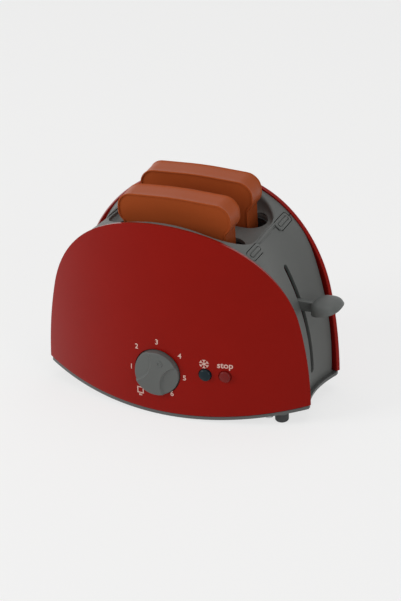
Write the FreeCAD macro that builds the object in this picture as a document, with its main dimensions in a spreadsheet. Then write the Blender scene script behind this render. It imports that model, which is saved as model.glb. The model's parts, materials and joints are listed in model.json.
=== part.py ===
"""Toy toaster with two plastic toast slices, a lift lever, a browning dial and two buttons.

Frame: millimetres, +X towards the lever end, +Y to the back, +Z up.  The origin is on the
table, under the middle of the body.  Every sub-part is built where it sits.
"""
import FreeCAD, Part
import math
import os

import Sketcher
from FreeCAD import Placement, Rotation, Vector

doc = FreeCAD.newDocument("toaster")
sheet = doc.addObject("Spreadsheet::Sheet", "Size")


# ---------------------------------------------------------------- sizes that carry their formula
class Dim:
    """A number together with the spreadsheet formula that it comes from."""

    def __init__(self, value, formula):
        self.value = float(value)
        self.formula = formula

    def __float__(self):
        return self.value

    def __add__(self, other):
        return Dim(self.value + float(other), f"({self.formula} + {dim(other).formula})")

    def __sub__(self, other):
        return Dim(self.value - float(other), f"({self.formula} - {dim(other).formula})")

    def __mul__(self, other):
        return Dim(self.value * float(other), f"({self.formula} * {dim(other).formula})")

    def __truediv__(self, other):
        return Dim(self.value / float(other), f"({self.formula} / {dim(other).formula})")

    def __radd__(self, other):
        return dim(other) + self

    def __rsub__(self, other):
        return dim(other) - self

    def __rmul__(self, other):
        return dim(other) * self

    def __rtruediv__(self, other):
        return dim(other) / self

    def __neg__(self):
        return self * -1


def dim(number):
    return number if isinstance(number, Dim) else Dim(number, f"({float(number)})")


def root(number):
    return Dim(math.sqrt(number.value), f"sqrt({number.formula})")


def sine(angle):
    return Dim(math.sin(math.radians(float(angle))), f"sin({dim(angle).formula} * 1deg)")


def cosine(angle):
    return Dim(math.cos(math.radians(float(angle))), f"cos({dim(angle).formula} * 1deg)")


sheet_rows = []


def size(alias, value, note):
    """One driving dimension: a plain number in the sheet, under its alias."""
    sheet_rows.append(alias)
    row = len(sheet_rows)
    sheet.set(f"A{row}", note)
    sheet.set(f"B{row}", str(value))
    sheet.setAlias(f"B{row}", alias)
    return Dim(value, f"Size.{alias}")


# overall form
length = size("length", 185, "length over the red side panels")
end_width = size("end_width", 50, "width over the panels at their ends")
belly = size("belly", 25, "how far each panel bulges between its ends")
corner_level = size("corner_level", 14, "height of the panels' end corners above the table")
crown_rise = size("crown_rise", 121, "height of the dome above the end corners")
crown_radius = size("crown_radius", 112, "radius of the dome's top")
crown_turn = size("crown_turn", 15.2, "half angle of the dome's top arc")
shoulder_radius = size("shoulder_radius", 79.6, "radius of the dome's shoulders")
side_radius = size("side_radius", 274.7, "radius of the dome's long sides")
lean = size("lean", 6, "how far a panel leans in at its top")
bow = size("bow", 10.6, "how far the bottom edge dips below the end corners")

# side panels and covers
panel_wall = size("panel_wall", 2.5, "wall of the red panels")
panel_gap = size("panel_gap", 0.3, "gap between a panel and the cover behind it")
cover_inset = size("cover_inset", 1.5, "how far the grey cover lies inside the panels' outline")
cover_wall = size("cover_wall", 2.2, "wall of the grey covers")
waist_radius = size("waist_radius", 158, "radius of the hollow end, seen from the side")
waist_inset = size("waist_inset", 9.1, "how far the hollow end lies inside the length")
waist_level = size("waist_level", 10, "height of the hollow's centre above the end corners")
waist_tube = size("waist_tube", 56, "radius of the hollow end, seen from above")
seam_place = size("seam_place", 55, "where the end cover meets the top cover")
seam_gap = size("seam_gap", 0.3, "width of the seam line")
clip_wall = size("clip_wall", 1.2, "thickness of the clips across the seam")
clip_width = size("clip_width", 7.2, "width of a clip")
clip_length = size("clip_length", 18, "length of a clip")
clip_inner_end = size("clip_inner_end", 14, "distance of a clip's inner end from the middle")
clip_gap = size("clip_gap", 0.35, "groove around a clip")
boss_radius = size("boss_radius", 3.5, "radius of the covers' screw bosses")
boss_top = size("boss_top", 26, "height of the covers' screw bosses")
boss_x = size("boss_x", 65.5, "distance of the covers' bosses from the middle")
boss_bite = size("boss_bite", 1.9, "distance of a boss's axis from the cover's inside")

# well and toast slots
well_floor = size("well_floor", 116, "height of the well's floor")
well_half = size("well_half", 51, "half length of the well")
well_side = size("well_side", 35, "half width of the well")
well_corner = size("well_corner", 26, "corner radius of the well")
slot_half = size("slot_half", 44.6, "half length of a toast slot")
slot_radius = size("slot_radius", 9.85, "half width of a toast slot")
slot_pitch = size("slot_pitch", 36, "distance between the two toast slots")
chute_wall = size("chute_wall", 1.5, "wall of the toast chutes")
socket_gap = size("socket_gap", 0.1, "gap around a chute's ends")
socket_wall = size("socket_wall", 1.2, "wall of the sockets that hold a chute's ends")
socket_height = size("socket_height", 3, "height of those sockets")
plate_gap = size("plate_gap", 0.1, "gap between the well's plate and the cover")

# base
lip_gap = size("lip_gap", 0.5, "shadow gap between the panels and the base")
base_wall = size("base_wall", 2.2, "thickness of the base plate")
lip_side = size("lip_side", 0.5, "how far the base's lip lies inside the panels")
lip_end = size("lip_end", 1.5, "how far the base's lip lies inside the panels' ends")
lip_reach = size("lip_reach", 3, "how far the lip stands out from the hollow end")
foot_radius = size("foot_radius", 4.5, "radius of a foot")
foot_height = size("foot_height", 6.2, "height of a foot below its seat")
foot_stem = size("foot_stem", 2.2, "radius of a foot's stem")
foot_x = size("foot_x", 73, "distance of the right feet from the middle")
foot_y = size("foot_y", 27, "distance of the feet from the centre line")
left_foot_x = size("left_foot_x", 60, "distance of the left feet from the middle")
left_foot_y = size("left_foot_y", 21, "distance of the left feet from the centre line")
left_foot_height = size("left_foot_height", 3.6, "height of a left foot below its seat")

# inner frame and guide rod
frame_floor = size("frame_floor", 8, "height of the frame's plate")
frame_wall = size("frame_wall", 2, "thickness of the frame's plate")
frame_side = size("frame_side", 31.5, "half width of the frame's plate")
frame_screw_left = size("frame_screw_left", 37, "place of the frame's left screw")
frame_screw_right = size("frame_screw_right", 24, "place of the frame's middle screw")
frame_screw_side = size("frame_screw_side", 22, "distance of the frame's right screws from the middle plane")
frame_end = size("frame_end", 62, "reach of the frame's plate towards the lever")
rod_x = size("rod_x", 50, "place of the guide rod")
rod_radius = size("rod_radius", 2, "radius of the guide rod")
bracket_level = size("bracket_level", 103, "underside of the bracket that holds the rod's top")
bracket_wall = size("bracket_wall", 3, "thickness of that bracket")
running_gap = size("running_gap", 0.06, "radial clearance of a running fit")

# carriage and lever
tray_level = size("tray_level", 64, "height that the toast stands on, at rest")
tray_wall = size("tray_wall", 3, "thickness of a tray")
tray_half = size("tray_half", 38, "half length of a tray")
tray_side = size("tray_side", 6, "half width of a tray")
finger_side = size("finger_side", 2.5, "half width of the fingers that carry the trays")
finger_depth = size("finger_depth", 6, "height of the fingers")
finger_gap = size("finger_gap", 1, "clearance of a finger in its slit")
block_height = size("block_height", 22, "height of the sliding block")
bore_depth = size("bore_depth", 10, "depth of the spring's bore in the block")
block_side = size("block_side", 7, "half width of the sliding block")
block_reach = size("block_reach", 6.5, "how far the block reaches past the rod, towards the lever")
block_back = size("block_back", 5.7, "how far the block reaches past the rod, towards the toast")
lift_down = size("lift_down", 43.5, "travel of the carriage down from rest")
lift_up = size("lift_up", 21.5, "travel of the carriage up from rest")
arm_height = size("arm_height", 7, "height of the lever's arm")
arm_side = size("arm_side", 2, "half thickness of the lever's arm")
arm_level = size("arm_level", 71.8, "middle height of the lever's arm, at rest")
arm_gap = size("arm_gap", 1.6, "clearance of the arm at the ends of its slot")
lever_slot_side = size("lever_slot_side", 2.3, "half width of the lever's slot")
root_wall = size("root_wall", 2, "thickness of the lever's root plate")
lever_screw_y = size("lever_screw_y", 4.4, "distance of the lever's screws from the middle plane")
paddle_out = size("paddle_out", 2.1, "distance of the paddle's middle from the panels' ends")
paddle_half = size("paddle_half", 10, "half length of the paddle")
paddle_side = size("paddle_side", 12, "half width of the paddle")
paddle_corner = size("paddle_corner", 8.5, "corner radius of the paddle")
paddle_wall = size("paddle_wall", 7, "thickness of the paddle")
paddle_tilt = size("paddle_tilt", 14.8, "upward tilt of the paddle")
paddle_dome = size("paddle_dome", 18, "radius of the paddle's domed top")

# springs
spring_gap = size("spring_gap", 0.35, "clearance around the lift spring")
lift_wire = size("lift_wire", 0.45, "radius of the lift spring's wire")
lift_coil = size("lift_coil", 3.2, "coil radius of the lift spring")
lift_turns = size("lift_turns", 10, "turns of the lift spring")
button_wire = size("button_wire", 0.25, "radius of a button spring's wire")
button_coil = size("button_coil", 2.8, "coil radius of a button spring")
button_turns = size("button_turns", 4.5, "turns of a button spring")

# buttons and latch
stop_x = size("stop_x", 41.4, "place of the stop button")
stop_radius = size("stop_radius", 4, "radius of the stop button")
defrost_x = size("defrost_x", 28.5, "place of the defrost button")
defrost_radius = size("defrost_radius", 4.2, "radius of the defrost button")
button_level = size("button_level", 35.1, "height of the buttons")
button_proud = size("button_proud", 2.1, "how far a button stands out of the panel")
button_gap = size("button_gap", 0.25, "gap around a button")
button_round = size("button_round", 1.6, "rounding of a button's front edge")
flange_lip = size("flange_lip", 1, "how far a button's flange stands out")
flange_wall = size("flange_wall", 1.5, "thickness of a button's flange")
button_stroke = size("button_stroke", 2, "travel of a button")
stem_radius = size("stem_radius", 2, "radius of a button's stem")
carrier_depth = size("carrier_depth", 12, "depth of the button carrier below the panel's face")
carrier_wall = size("carrier_wall", 1.6, "thickness of the button carrier")
carrier_side = size("carrier_side", 12, "half width of the button carrier")
carrier_screw_rise = size("carrier_screw_rise", 9.3, "carrier screws above and below the buttons")
latch_x = size("latch_x", 58, "place of the latch's pin")
latch_y = size("latch_y", 30.5, "distance of the latch's pin from the middle plane")
latch_level = size("latch_level", 30, "underside of the latch")
latch_height = size("latch_height", 10, "height of the latch's hub")
latch_hub = size("latch_hub", 3.5, "radius of the latch's hub")
arm_offset = size("arm_offset", 1.5, "offset of the latch's arm from its pin")
stem_gap = size("stem_gap", 0.5, "gap between the stop button's stem and the latch")
latch_wall = size("latch_wall", 2.6, "thickness of the latch's finger")
latch_arm_wall = size("latch_arm_wall", 1.6, "thickness of the latch's arm")
latch_arm_spare = size("latch_arm_spare", 0.5, "how far the latch's arm reaches past the stop button's axis")
latch_pin_radius = size("latch_pin_radius", 1.25, "radius of the latch's pin")
nose_depth = size("nose_depth", 5, "how far the carriage's nose stands out")
nose_height = size("nose_height", 4, "height of the carriage's nose")
hook_gap = size("hook_gap", 0.4, "gap between the latch's hook and the nose's path")

# dial
dial_x = size("dial_x", -4.2, "place of the dial")
dial_level = size("dial_level", 32, "height of the dial's axis")
knob_radius = size("knob_radius", 15.5, "radius of the knob")
knob_gap = size("knob_gap", 0.6, "gap around the knob")
knob_proud = size("knob_proud", 3.8, "how far the knob stands out of the panel")
knob_sink = size("knob_sink", 2.2, "how deep the knob's disc is sunk in the panel")
knob_round = size("knob_round", 1, "rounding of the knob's front edge")
scallop_radius = size("scallop_radius", 15, "radius of the knob's finger hollows")
scallop_reach = size("scallop_reach", 19.5, "distance of the hollows' centres from the axis")
scallop_depth = size("scallop_depth", 2.4, "depth of the finger hollows")
knob_pointing = size("knob_pointing", 22.5, "clockwise turn of the pointer from the top")
pointer_place = size("pointer_place", 8.6, "distance of the pointer ring from the axis")
pointer_radius = size("pointer_radius", 1.5, "radius of the pointer's dimple")
spindle_radius = size("spindle_radius", 4, "radius of the knob's spindle")
spindle_depth = size("spindle_depth", 11.3, "depth of the spindle's end below the panel's face")
plate_depth = size("plate_depth", 5.4, "depth of the dial plate below the panel's face")
plate_wall = size("plate_wall", 2, "thickness of the dial plate")
plate_radius = size("plate_radius", 22, "radius of the dial plate")
plate_screw_ring = size("plate_screw_ring", 19, "radius of the ring of dial screws")
wheel_radius = size("wheel_radius", 9, "radius of the click wheel")
wheel_wall = size("wheel_wall", 2.4, "thickness of the click wheel")
click_count = size("click_count", 16, "notches of the click wheel")
click_radius = size("click_radius", 1.3, "radius of a notch")
leaf_wall = size("leaf_wall", 0.5, "thickness of the click spring's leaf")

# screws
screw_radius = size("screw_radius", 1.25, "shank radius of the screws")
screw_head = size("screw_head", 2.8, "head radius of the screws")
screw_head_wall = size("screw_head_wall", 1.7, "height of a screw's head")
screw_length = size("screw_length", 9, "shank length of the base screws")
short_screw = size("short_screw", 5, "shank length of the other screws")
screw_hole = size("screw_hole", 1.45, "radius of a clearance hole for a screw")
panel_boss = size("panel_boss", 2.3, "radius of a panel's screw boss")
seat_rise = size("seat_rise", 1.7, "height of a flat seat for a panel screw inside the cover")
boss_gap = size("boss_gap", 0.15, "gap around a panel's boss in the cover")
low_screw_x = size("low_screw_x", 70, "place of the panels' lower screws")
low_screw_level = size("low_screw_level", 44, "height of the panels' lower screws")
high_screw_x = size("high_screw_x", 38, "place of the panels' upper screws")
high_screw_level = size("high_screw_level", 97, "height of the panels' upper screws")

# toast slices
slice_wall = size("slice_wall", 16, "thickness of a slice")
slice_height = size("slice_height", 82, "height of a slice")
slice_half = size("slice_half", 35.2, "half width of a slice below its head")
head_half = size("head_half", 39.2, "half width of a slice's head")
head_height = size("head_height", 22.5, "height of a slice's head")
head_corner = size("head_corner", 9.8, "corner radius of a slice's head")
end_corner = size("end_corner", 0.8, "rounding of a slice's ends, seen from above")
crust_crown = size("crust_crown", 240, "radius of a slice's top edge")
crust_width = size("crust_width", 1.8, "width of the raised crust around a face")
crust_depth = size("crust_depth", 0.6, "how far the crust stands out of a face")
crumb_wall = size("crumb_wall", 2, "wall of the hollow slice halves")
half_gap = size("half_gap", 0.05, "half of the parting gap between slice halves")
slice_corner = size("slice_corner", 6, "radius of a slice's bottom corners")
slice_x = size("slice_x", -0.4, "place of the slices' middle along the slots")

doc.recompute()

# ---------------------------------------------------------------- derived places
half_length = length / 2
belly_y = end_width / 2 + belly
plan_radius = (half_length * half_length + belly * belly) / (belly * 2)
plan_centre = plan_radius - belly_y
lean_radius = (crown_rise * crown_rise + lean * lean) / (lean * 2)
crown_centre = corner_level + crown_rise - crown_radius
shoulder_x = (crown_radius - shoulder_radius) * sine(crown_turn)
shoulder_z = crown_centre + (crown_radius - shoulder_radius) * cosine(crown_turn)
# the side arc touches the shoulder arc from inside and runs through the panel's end corner
side_arm = side_radius - shoulder_radius
corner_x = half_length - shoulder_x
corner_z = corner_level - shoulder_z
corner_square = corner_x * corner_x + corner_z * corner_z
side_along = (corner_square + side_arm * side_arm - side_radius * side_radius) / (corner_square * 2)
side_across = root(side_arm * side_arm / corner_square - side_along * side_along)
side_x = shoulder_x + side_along * corner_x + side_across * corner_z
side_z = shoulder_z + side_along * corner_z - side_across * corner_x
bow_radius = (half_length * half_length + bow * bow) / (bow * 2)
bow_centre = corner_level - bow + bow_radius
waist_x = half_length - waist_inset - waist_radius
waist_z = corner_level + waist_level
dome_top = corner_level + crown_rise
outside = belly_y + 20       # half depth of the blocks that other solids are cut from
underneath = dim(-6)         # level of their flat undersides
slot_y = slot_pitch / 2
base_top = corner_level - bow - lip_gap


def lean_at(level):
    """How far a panel has leaned in at a height."""
    rise = level - corner_level
    return lean_radius - root(lean_radius * lean_radius - rise * rise)


def panel_face(x, level):
    """Distance of a panel's outer face from the middle plane."""
    reach = plan_radius - lean_at(level)
    return root(reach * reach - x * x) - plan_centre


def floor_at(x):
    """Height of the base plate's top face."""
    reach = bow_radius + lip_gap
    return bow_centre - root(reach * reach - x * x)


boss_y = panel_face(boss_x, corner_level) - panel_wall - panel_gap - cover_wall - boss_bite
paddle_x = half_length + paddle_out
carrier_middle = (defrost_x + stop_x) / 2
carrier_face = panel_face(carrier_middle, button_level) - carrier_depth
dial_face = panel_face(dial_x, dial_level)
knob_front = dial_face + knob_proud
knob_back = dial_face - knob_sink
spindle_end = dial_face - spindle_depth
plate_front = dial_face - plate_depth


# ---------------------------------------------------------------- document helpers
def bind(thing, prop, value):
    thing.setExpression(prop, dim(value).formula)


def put(thing, x, y, z):
    for letter, place in zip("xyz", (x, y, z)):
        bind(thing, f"Placement.Base.{letter}", place)
    return thing


AXIS_TURN = {
    "x": Rotation(Vector(0, 1, 0), 90),
    "y": Rotation(Vector(1, 0, 0), -90),
    "z": Rotation(),
}
SKETCH_TURN = {
    "xy": Rotation(),
    "xz": Rotation(Vector(1, 0, 0), 90),
    "yz": Rotation(Vector(1, 1, 1), 120),
}
PLANE_ROLE = {"xy": "XY_Plane", "xz": "XZ_Plane", "yz": "YZ_Plane"}


def block(label, x, y, z):
    """A box between a low and a high bound on each axis."""
    solid = doc.addObject("Part::Box", label)
    for prop, span in zip(("Length", "Width", "Height"), (x, y, z)):
        bind(solid, prop, dim(span[1]) - span[0])
    return put(solid, x[0], y[0], z[0])


def rod(label, axis, radius, start, reach):
    """A cylinder that starts at a point and runs along +X, +Y or +Z."""
    solid = doc.addObject("Part::Cylinder", label)
    bind(solid, "Radius", radius)
    bind(solid, "Height", reach)
    solid.Placement = Placement(Vector(), AXIS_TURN[axis])
    return put(solid, *start)


def fuse(label, *solids):
    joined = doc.addObject("Part::MultiFuse", label)
    joined.Shapes = list(solids)
    return joined


def cut(label, base, *tools):
    taken = doc.addObject("Part::Cut", label)
    taken.Base = base
    taken.Tool = tools[0] if len(tools) == 1 else fuse(f"{label}_tools", *tools)
    return taken


def common(label, first, *others):
    shared = first
    for number, other in enumerate(others, 1):
        step = doc.addObject("Part::Common", label if number == len(others) else f"{label}_step{number}")
        step.Base = shared
        step.Tool = other
        shared = step
    return shared


def group(label, solids):
    bundle = doc.addObject("Part::Compound", label)
    bundle.Links = list(solids)
    return bundle


# ---------------------------------------------------------------- sketch helpers
def loose_sketch(label, plane, offset=(0, 0, 0)):
    sketch = doc.addObject("Sketcher::SketchObject", label)
    sketch.Placement = Placement(Vector(), SKETCH_TURN[plane])
    return put(sketch, *offset)


def body_sketch(body, label, plane, offset):
    """A sketch on one of a body's own origin planes, moved along the plane's normal."""
    sketch = body.newObject("Sketcher::SketchObject", label)
    role = PLANE_ROLE[plane]
    base = [feature for feature in body.Origin.OriginFeatures if feature.Role == role][0]
    sketch.AttachmentSupport = (base, [""])
    sketch.MapMode = "FlatFace"
    bind(sketch, "AttachmentOffset.Base.z", offset)
    return sketch


def hold(sketch, kind, *where, value):
    """A dimensional constraint that is bound to its formula."""
    number = sketch.addConstraint(Sketcher.Constraint(kind, *where, float(value)))
    sketch.renameConstraint(number, f"{kind.lower()}{number}")
    bind(sketch, f"Constraints.{kind.lower()}{number}", value)


def pin_point(sketch, edge, end, u, v):
    hold(sketch, "DistanceX", -1, 1, edge, end, value=u)
    hold(sketch, "DistanceY", -1, 1, edge, end, value=v)


def draw_arc(sketch, u, v, radius, start, end):
    circle = Part.Circle(Vector(float(u), float(v), 0), Vector(0, 0, 1), float(radius))
    return sketch.addGeometry(Part.ArcOfCircle(circle, math.radians(start), math.radians(end)))


def draw_line(sketch, u1, v1, u2, v2):
    ends = Vector(float(u1), float(v1), 0), Vector(float(u2), float(v2), 0)
    return sketch.addGeometry(Part.LineSegment(*ends))


def draw_circle(sketch, u, v, radius):
    circle = Part.Circle(Vector(float(u), float(v), 0), Vector(0, 0, 1), float(radius))
    edge = sketch.addGeometry(circle)
    pin_point(sketch, edge, 3, u, v)
    hold(sketch, "Radius", edge, value=radius)


def draw_polygon(sketch, points):
    edges = []
    for first, second in zip(points, points[1:] + points[:1]):
        edges.append(draw_line(sketch, *first, *second))
    for edge, point in zip(edges, points):
        pin_point(sketch, edge, 1, *point)
    for edge, following in zip(edges, edges[1:] + edges[:1]):
        sketch.addConstraint(Sketcher.Constraint("Coincident", edge, 2, following, 1))


def draw_rounded(sketch, u, v, half_u, half_v, corner):
    """A rectangle with round corners: four arcs with bound centres, and four tangent lines."""
    left, right = dim(u) - half_u + corner, dim(u) + half_u - corner
    low, high = dim(v) - half_v + corner, dim(v) + half_v - corner
    arcs = [
        draw_arc(sketch, right, high, corner, 0, 90),
        draw_arc(sketch, left, high, corner, 90, 180),
        draw_arc(sketch, left, low, corner, 180, 270),
        draw_arc(sketch, right, low, corner, 270, 360),
    ]
    for edge, centre in zip(arcs, ((right, high), (left, high), (left, low), (right, low))):
        pin_point(sketch, edge, 3, *centre)
        hold(sketch, "Radius", edge, value=corner)
    lines = [
        draw_line(sketch, right, high + corner, left, high + corner),
        draw_line(sketch, left - corner, high, left - corner, low),
        draw_line(sketch, left, low - corner, right, low - corner),
        draw_line(sketch, right + corner, low, right + corner, high),
    ]
    for number, line in enumerate(lines):
        sketch.addConstraint(Sketcher.Constraint("Tangent", arcs[number], 2, line, 1))
        sketch.addConstraint(Sketcher.Constraint("Tangent", line, 2, arcs[(number + 1) % 4], 1))


def draw_stadium(sketch, u, v, half_u, radius):
    """A slot shape: two half circles joined by two lines."""
    left, right = dim(u) - half_u + radius, dim(u) + half_u - radius
    arcs = [
        draw_arc(sketch, right, v, radius, 270, 450),
        draw_arc(sketch, left, v, radius, 90, 270),
    ]
    for edge, centre in zip(arcs, (right, left)):
        pin_point(sketch, edge, 3, centre, v)
        hold(sketch, "Radius", edge, value=radius)
    lines = [
        draw_line(sketch, right, v + radius, left, v + radius),
        draw_line(sketch, left, v - radius, right, v - radius),
    ]
    for number, line in enumerate(lines):
        sketch.addConstraint(Sketcher.Constraint("Tangent", arcs[number], 2, line, 1))
        sketch.addConstraint(Sketcher.Constraint("Tangent", line, 2, arcs[1 - number], 1))


def extrude(label, sketch, reach, direction=Vector(0, 0, 1)):
    solid = doc.addObject("Part::Extrusion", label)
    solid.Base = sketch
    solid.DirMode = "Custom"
    solid.Dir = direction
    solid.Solid = True
    bind(solid, "LengthFwd", reach)
    return solid


def stadium_block(label, y, half_u, radius, low, high):
    sketch = loose_sketch(f"{label}_sketch", "xy", (0, 0, low))
    draw_stadium(sketch, 0, y, half_u, radius)
    return extrude(label, sketch, dim(high) - low)


def rounded_block(label, half_u, half_v, corner, low, high):
    sketch = loose_sketch(f"{label}_sketch", "xy", (0, 0, low))
    draw_rounded(sketch, 0, 0, half_u, half_v, corner)
    return extrude(label, sketch, high - low)


# ---------------------------------------------------------------- body helpers
class Piece:
    """A PartDesign body that is built feature by feature."""

    def __init__(self, label):
        self.body = doc.addObject("PartDesign::Body", label)
        self.label = label
        self.count = 0

    def _sketch(self, plane, offset, draw, shape):
        self.count += 1
        sketch = body_sketch(self.body, f"{self.label}_sketch{self.count}", plane, offset)
        draw(sketch, *shape)
        return sketch

    def pad(self, plane, offset, reach, draw, *shape):
        """Add material from the sketch along its plane's normal."""
        feature = self.body.newObject("PartDesign::Pad", f"{self.label}_pad{self.count}")
        feature.Profile = self._sketch(plane, offset, draw, shape)
        bind(feature, "Length", reach)
        return feature

    def pocket(self, plane, offset, reach, draw, *shape):
        """Take material away, from the sketch along its plane's normal."""
        feature = self.body.newObject("PartDesign::Pocket", f"{self.label}_pocket{self.count}")
        feature.Profile = self._sketch(plane, offset, draw, shape)
        feature.Reversed = True
        bind(feature, "Length", reach)
        return feature

    def round_edges(self, radius, chosen):
        """Fillet the edges of the tip that a test picks."""
        doc.recompute()
        tip = self.body.Tip
        names = [f"Edge{number}" for number, edge in enumerate(tip.Shape.Edges, 1) if chosen(edge)]
        feature = self.body.newObject("PartDesign::Fillet", f"{self.label}_fillet{self.count}")
        feature.Base = (tip, names)
        bind(feature, "Radius", radius)
        return feature


pieces = []


def keep(solid, label):
    """Name a finished sub-part."""
    solid.Label = label
    pieces.append(solid)
    return solid


# ---------------------------------------------------------------- forms that the shell parts share
def dome_block(label, inset):
    """The dome's outline, moved in by inset and run through the whole depth."""
    top = crown_radius - inset
    turn = shoulder_radius - inset
    side = side_radius - inset
    joint_x = top * sine(crown_turn)
    joint_z = shoulder_z + turn * (shoulder_z - side_z) / side_arm
    low_angle = math.degrees(math.asin(float(underneath - side_z) / float(side)))
    low_x = float(side_x) + float(side) * math.cos(math.radians(low_angle))
    first = 90 - float(crown_turn)
    last = math.degrees(math.atan2(float(shoulder_z - side_z), float(shoulder_x - side_x)))
    sketch = loose_sketch(f"{label}_sketch", "xz", (0, -outside, 0))
    crown = draw_arc(sketch, 0, crown_centre, top, first, 180 - first)
    shoulders = [
        draw_arc(sketch, shoulder_x, shoulder_z, turn, last, first),
        draw_arc(sketch, -shoulder_x, shoulder_z, turn, 180 - first, 180 - last),
    ]
    sides = [
        draw_arc(sketch, side_x, side_z, side, low_angle, last),
        draw_arc(sketch, -side_x, side_z, side, 180 - last, 180 - low_angle),
    ]
    floor = draw_line(sketch, low_x, underneath, -low_x, underneath)
    sketch.addConstraint(Sketcher.Constraint("PointOnObject", crown, 3, -2))
    hold(sketch, "DistanceY", -1, 1, crown, 3, value=crown_centre)
    hold(sketch, "Radius", crown, value=top)
    for arc, below, near, far, sign in zip(shoulders, sides, (2, 1), (1, 2), (1, -1)):
        hold(sketch, "DistanceX", -1, 1, crown, far, value=joint_x * sign)
        sketch.addConstraint(Sketcher.Constraint("Tangent", arc, near, crown, far))
        hold(sketch, "Radius", arc, value=turn)
        hold(sketch, "DistanceY", -1, 1, arc, far, value=joint_z)
        sketch.addConstraint(Sketcher.Constraint("Tangent", below, near, arc, far))
        hold(sketch, "Radius", below, value=side)
        hold(sketch, "DistanceY", -1, 1, below, far, value=underneath)
    sketch.addConstraint(Sketcher.Constraint("Coincident", floor, 1, sides[0], 1))
    sketch.addConstraint(Sketcher.Constraint("Coincident", floor, 2, sides[1], 2))
    return extrude(label, sketch, outside * 2, Vector(0, 1, 0))


def barrel_half(label, side, inset):
    """The round tower whose wall is one panel's face: side is -1 at the front, 1 at the back."""
    radius = lean_radius - inset
    centre = plan_radius - lean_radius
    high = dome_top + 10
    centre_y = plan_centre * -side
    angles = [math.degrees(math.asin(float(z - corner_level) / float(radius))) for z in (underneath, high)]
    ends = [float(centre) + float(radius) * math.cos(math.radians(angle)) for angle in angles]
    sketch = loose_sketch(f"{label}_sketch", "xz", (0, centre_y, 0))
    wall = draw_arc(sketch, centre, corner_level, radius, *angles)
    pin_point(sketch, wall, 3, centre, corner_level)
    hold(sketch, "Radius", wall, value=radius)
    hold(sketch, "DistanceY", -1, 1, wall, 1, value=underneath)
    hold(sketch, "DistanceY", -1, 1, wall, 2, value=high)
    roof = draw_line(sketch, ends[1], high, 0, high)
    core = draw_line(sketch, 0, high, 0, underneath)
    floor = draw_line(sketch, 0, underneath, ends[0], underneath)
    pin_point(sketch, roof, 2, 0, high)
    pin_point(sketch, floor, 1, 0, underneath)
    for first, second in ((wall, roof), (roof, core), (core, floor), (floor, wall)):
        sketch.addConstraint(Sketcher.Constraint("Coincident", first, 2, second, 1))
    solid = doc.addObject("Part::Revolution", label)
    solid.Source = sketch
    solid.Axis = Vector(0, 0, 1)
    bind(solid, "Base.y", centre_y)
    solid.Angle = 360
    solid.Solid = True
    return solid


def lens_block(label, inset):
    """The space between the two panels' faces, moved in by inset."""
    return common(label, barrel_half(f"{label}_front", -1, inset), barrel_half(f"{label}_back", 1, inset))


def bow_block(label, drop):
    """All that lies above the bowed bottom edge, moved down by drop."""
    reach = bow_radius + drop
    return rod(label, "y", reach, (0, -outside, bow_centre), outside * 2)


def waist_ring(label, side, spare):
    """The ring that hollows one end: spare leaves that much more material."""
    ring = doc.addObject("Part::Torus", label)
    bind(ring, "Radius1", waist_radius + waist_tube)
    bind(ring, "Radius2", waist_tube - spare)
    ring.Placement = Placement(Vector(), AXIS_TURN["y"])
    return put(ring, waist_x * side, 0, waist_z)


def waist_rings(label, spare):
    return [waist_ring(f"{label}_right", 1, spare), waist_ring(f"{label}_left", -1, spare)]


def screw(label, axis, sign, x, y, z, reach):
    """A pan-head screw with its head's underside at the point; sign is the way its shank runs."""
    shank_start, head_start = [x, y, z], [x, y, z]
    place = "xyz".index(axis)
    if sign > 0:
        head_start[place] = dim(head_start[place]) - screw_head_wall
    else:
        shank_start[place] = dim(shank_start[place]) - reach
    shank = rod(f"{label}_shank", axis, screw_radius, shank_start, reach)
    head = rod(f"{label}_head", axis, screw_head, head_start, screw_head_wall)
    return fuse(label, shank, head)


# ---------------------------------------------------------------- side panels
dome_full = dome_block("dome_full", dim(0))
bottom_edge = bow_block("bottom_edge", dim(0))
panel_screw_points = [
    (-low_screw_x, low_screw_level),
    (low_screw_x, low_screw_level),
    (-high_screw_x, high_screw_level),
    (high_screw_x, high_screw_level),
]
SIDE_NAME = {-1: "front", 1: "back"}
panel_step = panel_gap + cover_wall    # from a panel's inner face to the inside of the cover


def span_y(side, far, near):
    """A pair of bounds along Y at given distances from the middle plane."""
    return (far * side, near * side) if side < 0 else (near * side, far * side)


def panel_parts(side):
    """The shell of one panel, its screw bosses and the bosses' pilot holes."""
    name = SIDE_NAME[side]
    outer = barrel_half(f"{name}_outer", side, dim(0))
    inner = barrel_half(f"{name}_inner", side, panel_wall)
    shell = common(f"{name}_shell", cut(f"{name}_band", outer, inner), dome_full, bottom_edge)
    bosses, pilots = [], []
    for number, (x, level) in enumerate(panel_screw_points, 1):
        face = panel_face(x, level)
        far, near = span_y(side, face - panel_wall / 2, face - panel_wall - panel_step - seat_rise)
        bosses.append(rod(f"{name}_boss{number}", "y", panel_boss, (x, far, level), near - far))
        pilots.append(rod(f"{name}_pilot{number}", "y", screw_radius, (x, far, level), near - far))
    return shell, bosses, pilots


shell, bosses, pilots = panel_parts(1)
keep(cut("back_panel", fuse("back_joined", shell, *bosses), *pilots), "back_panel")

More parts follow.
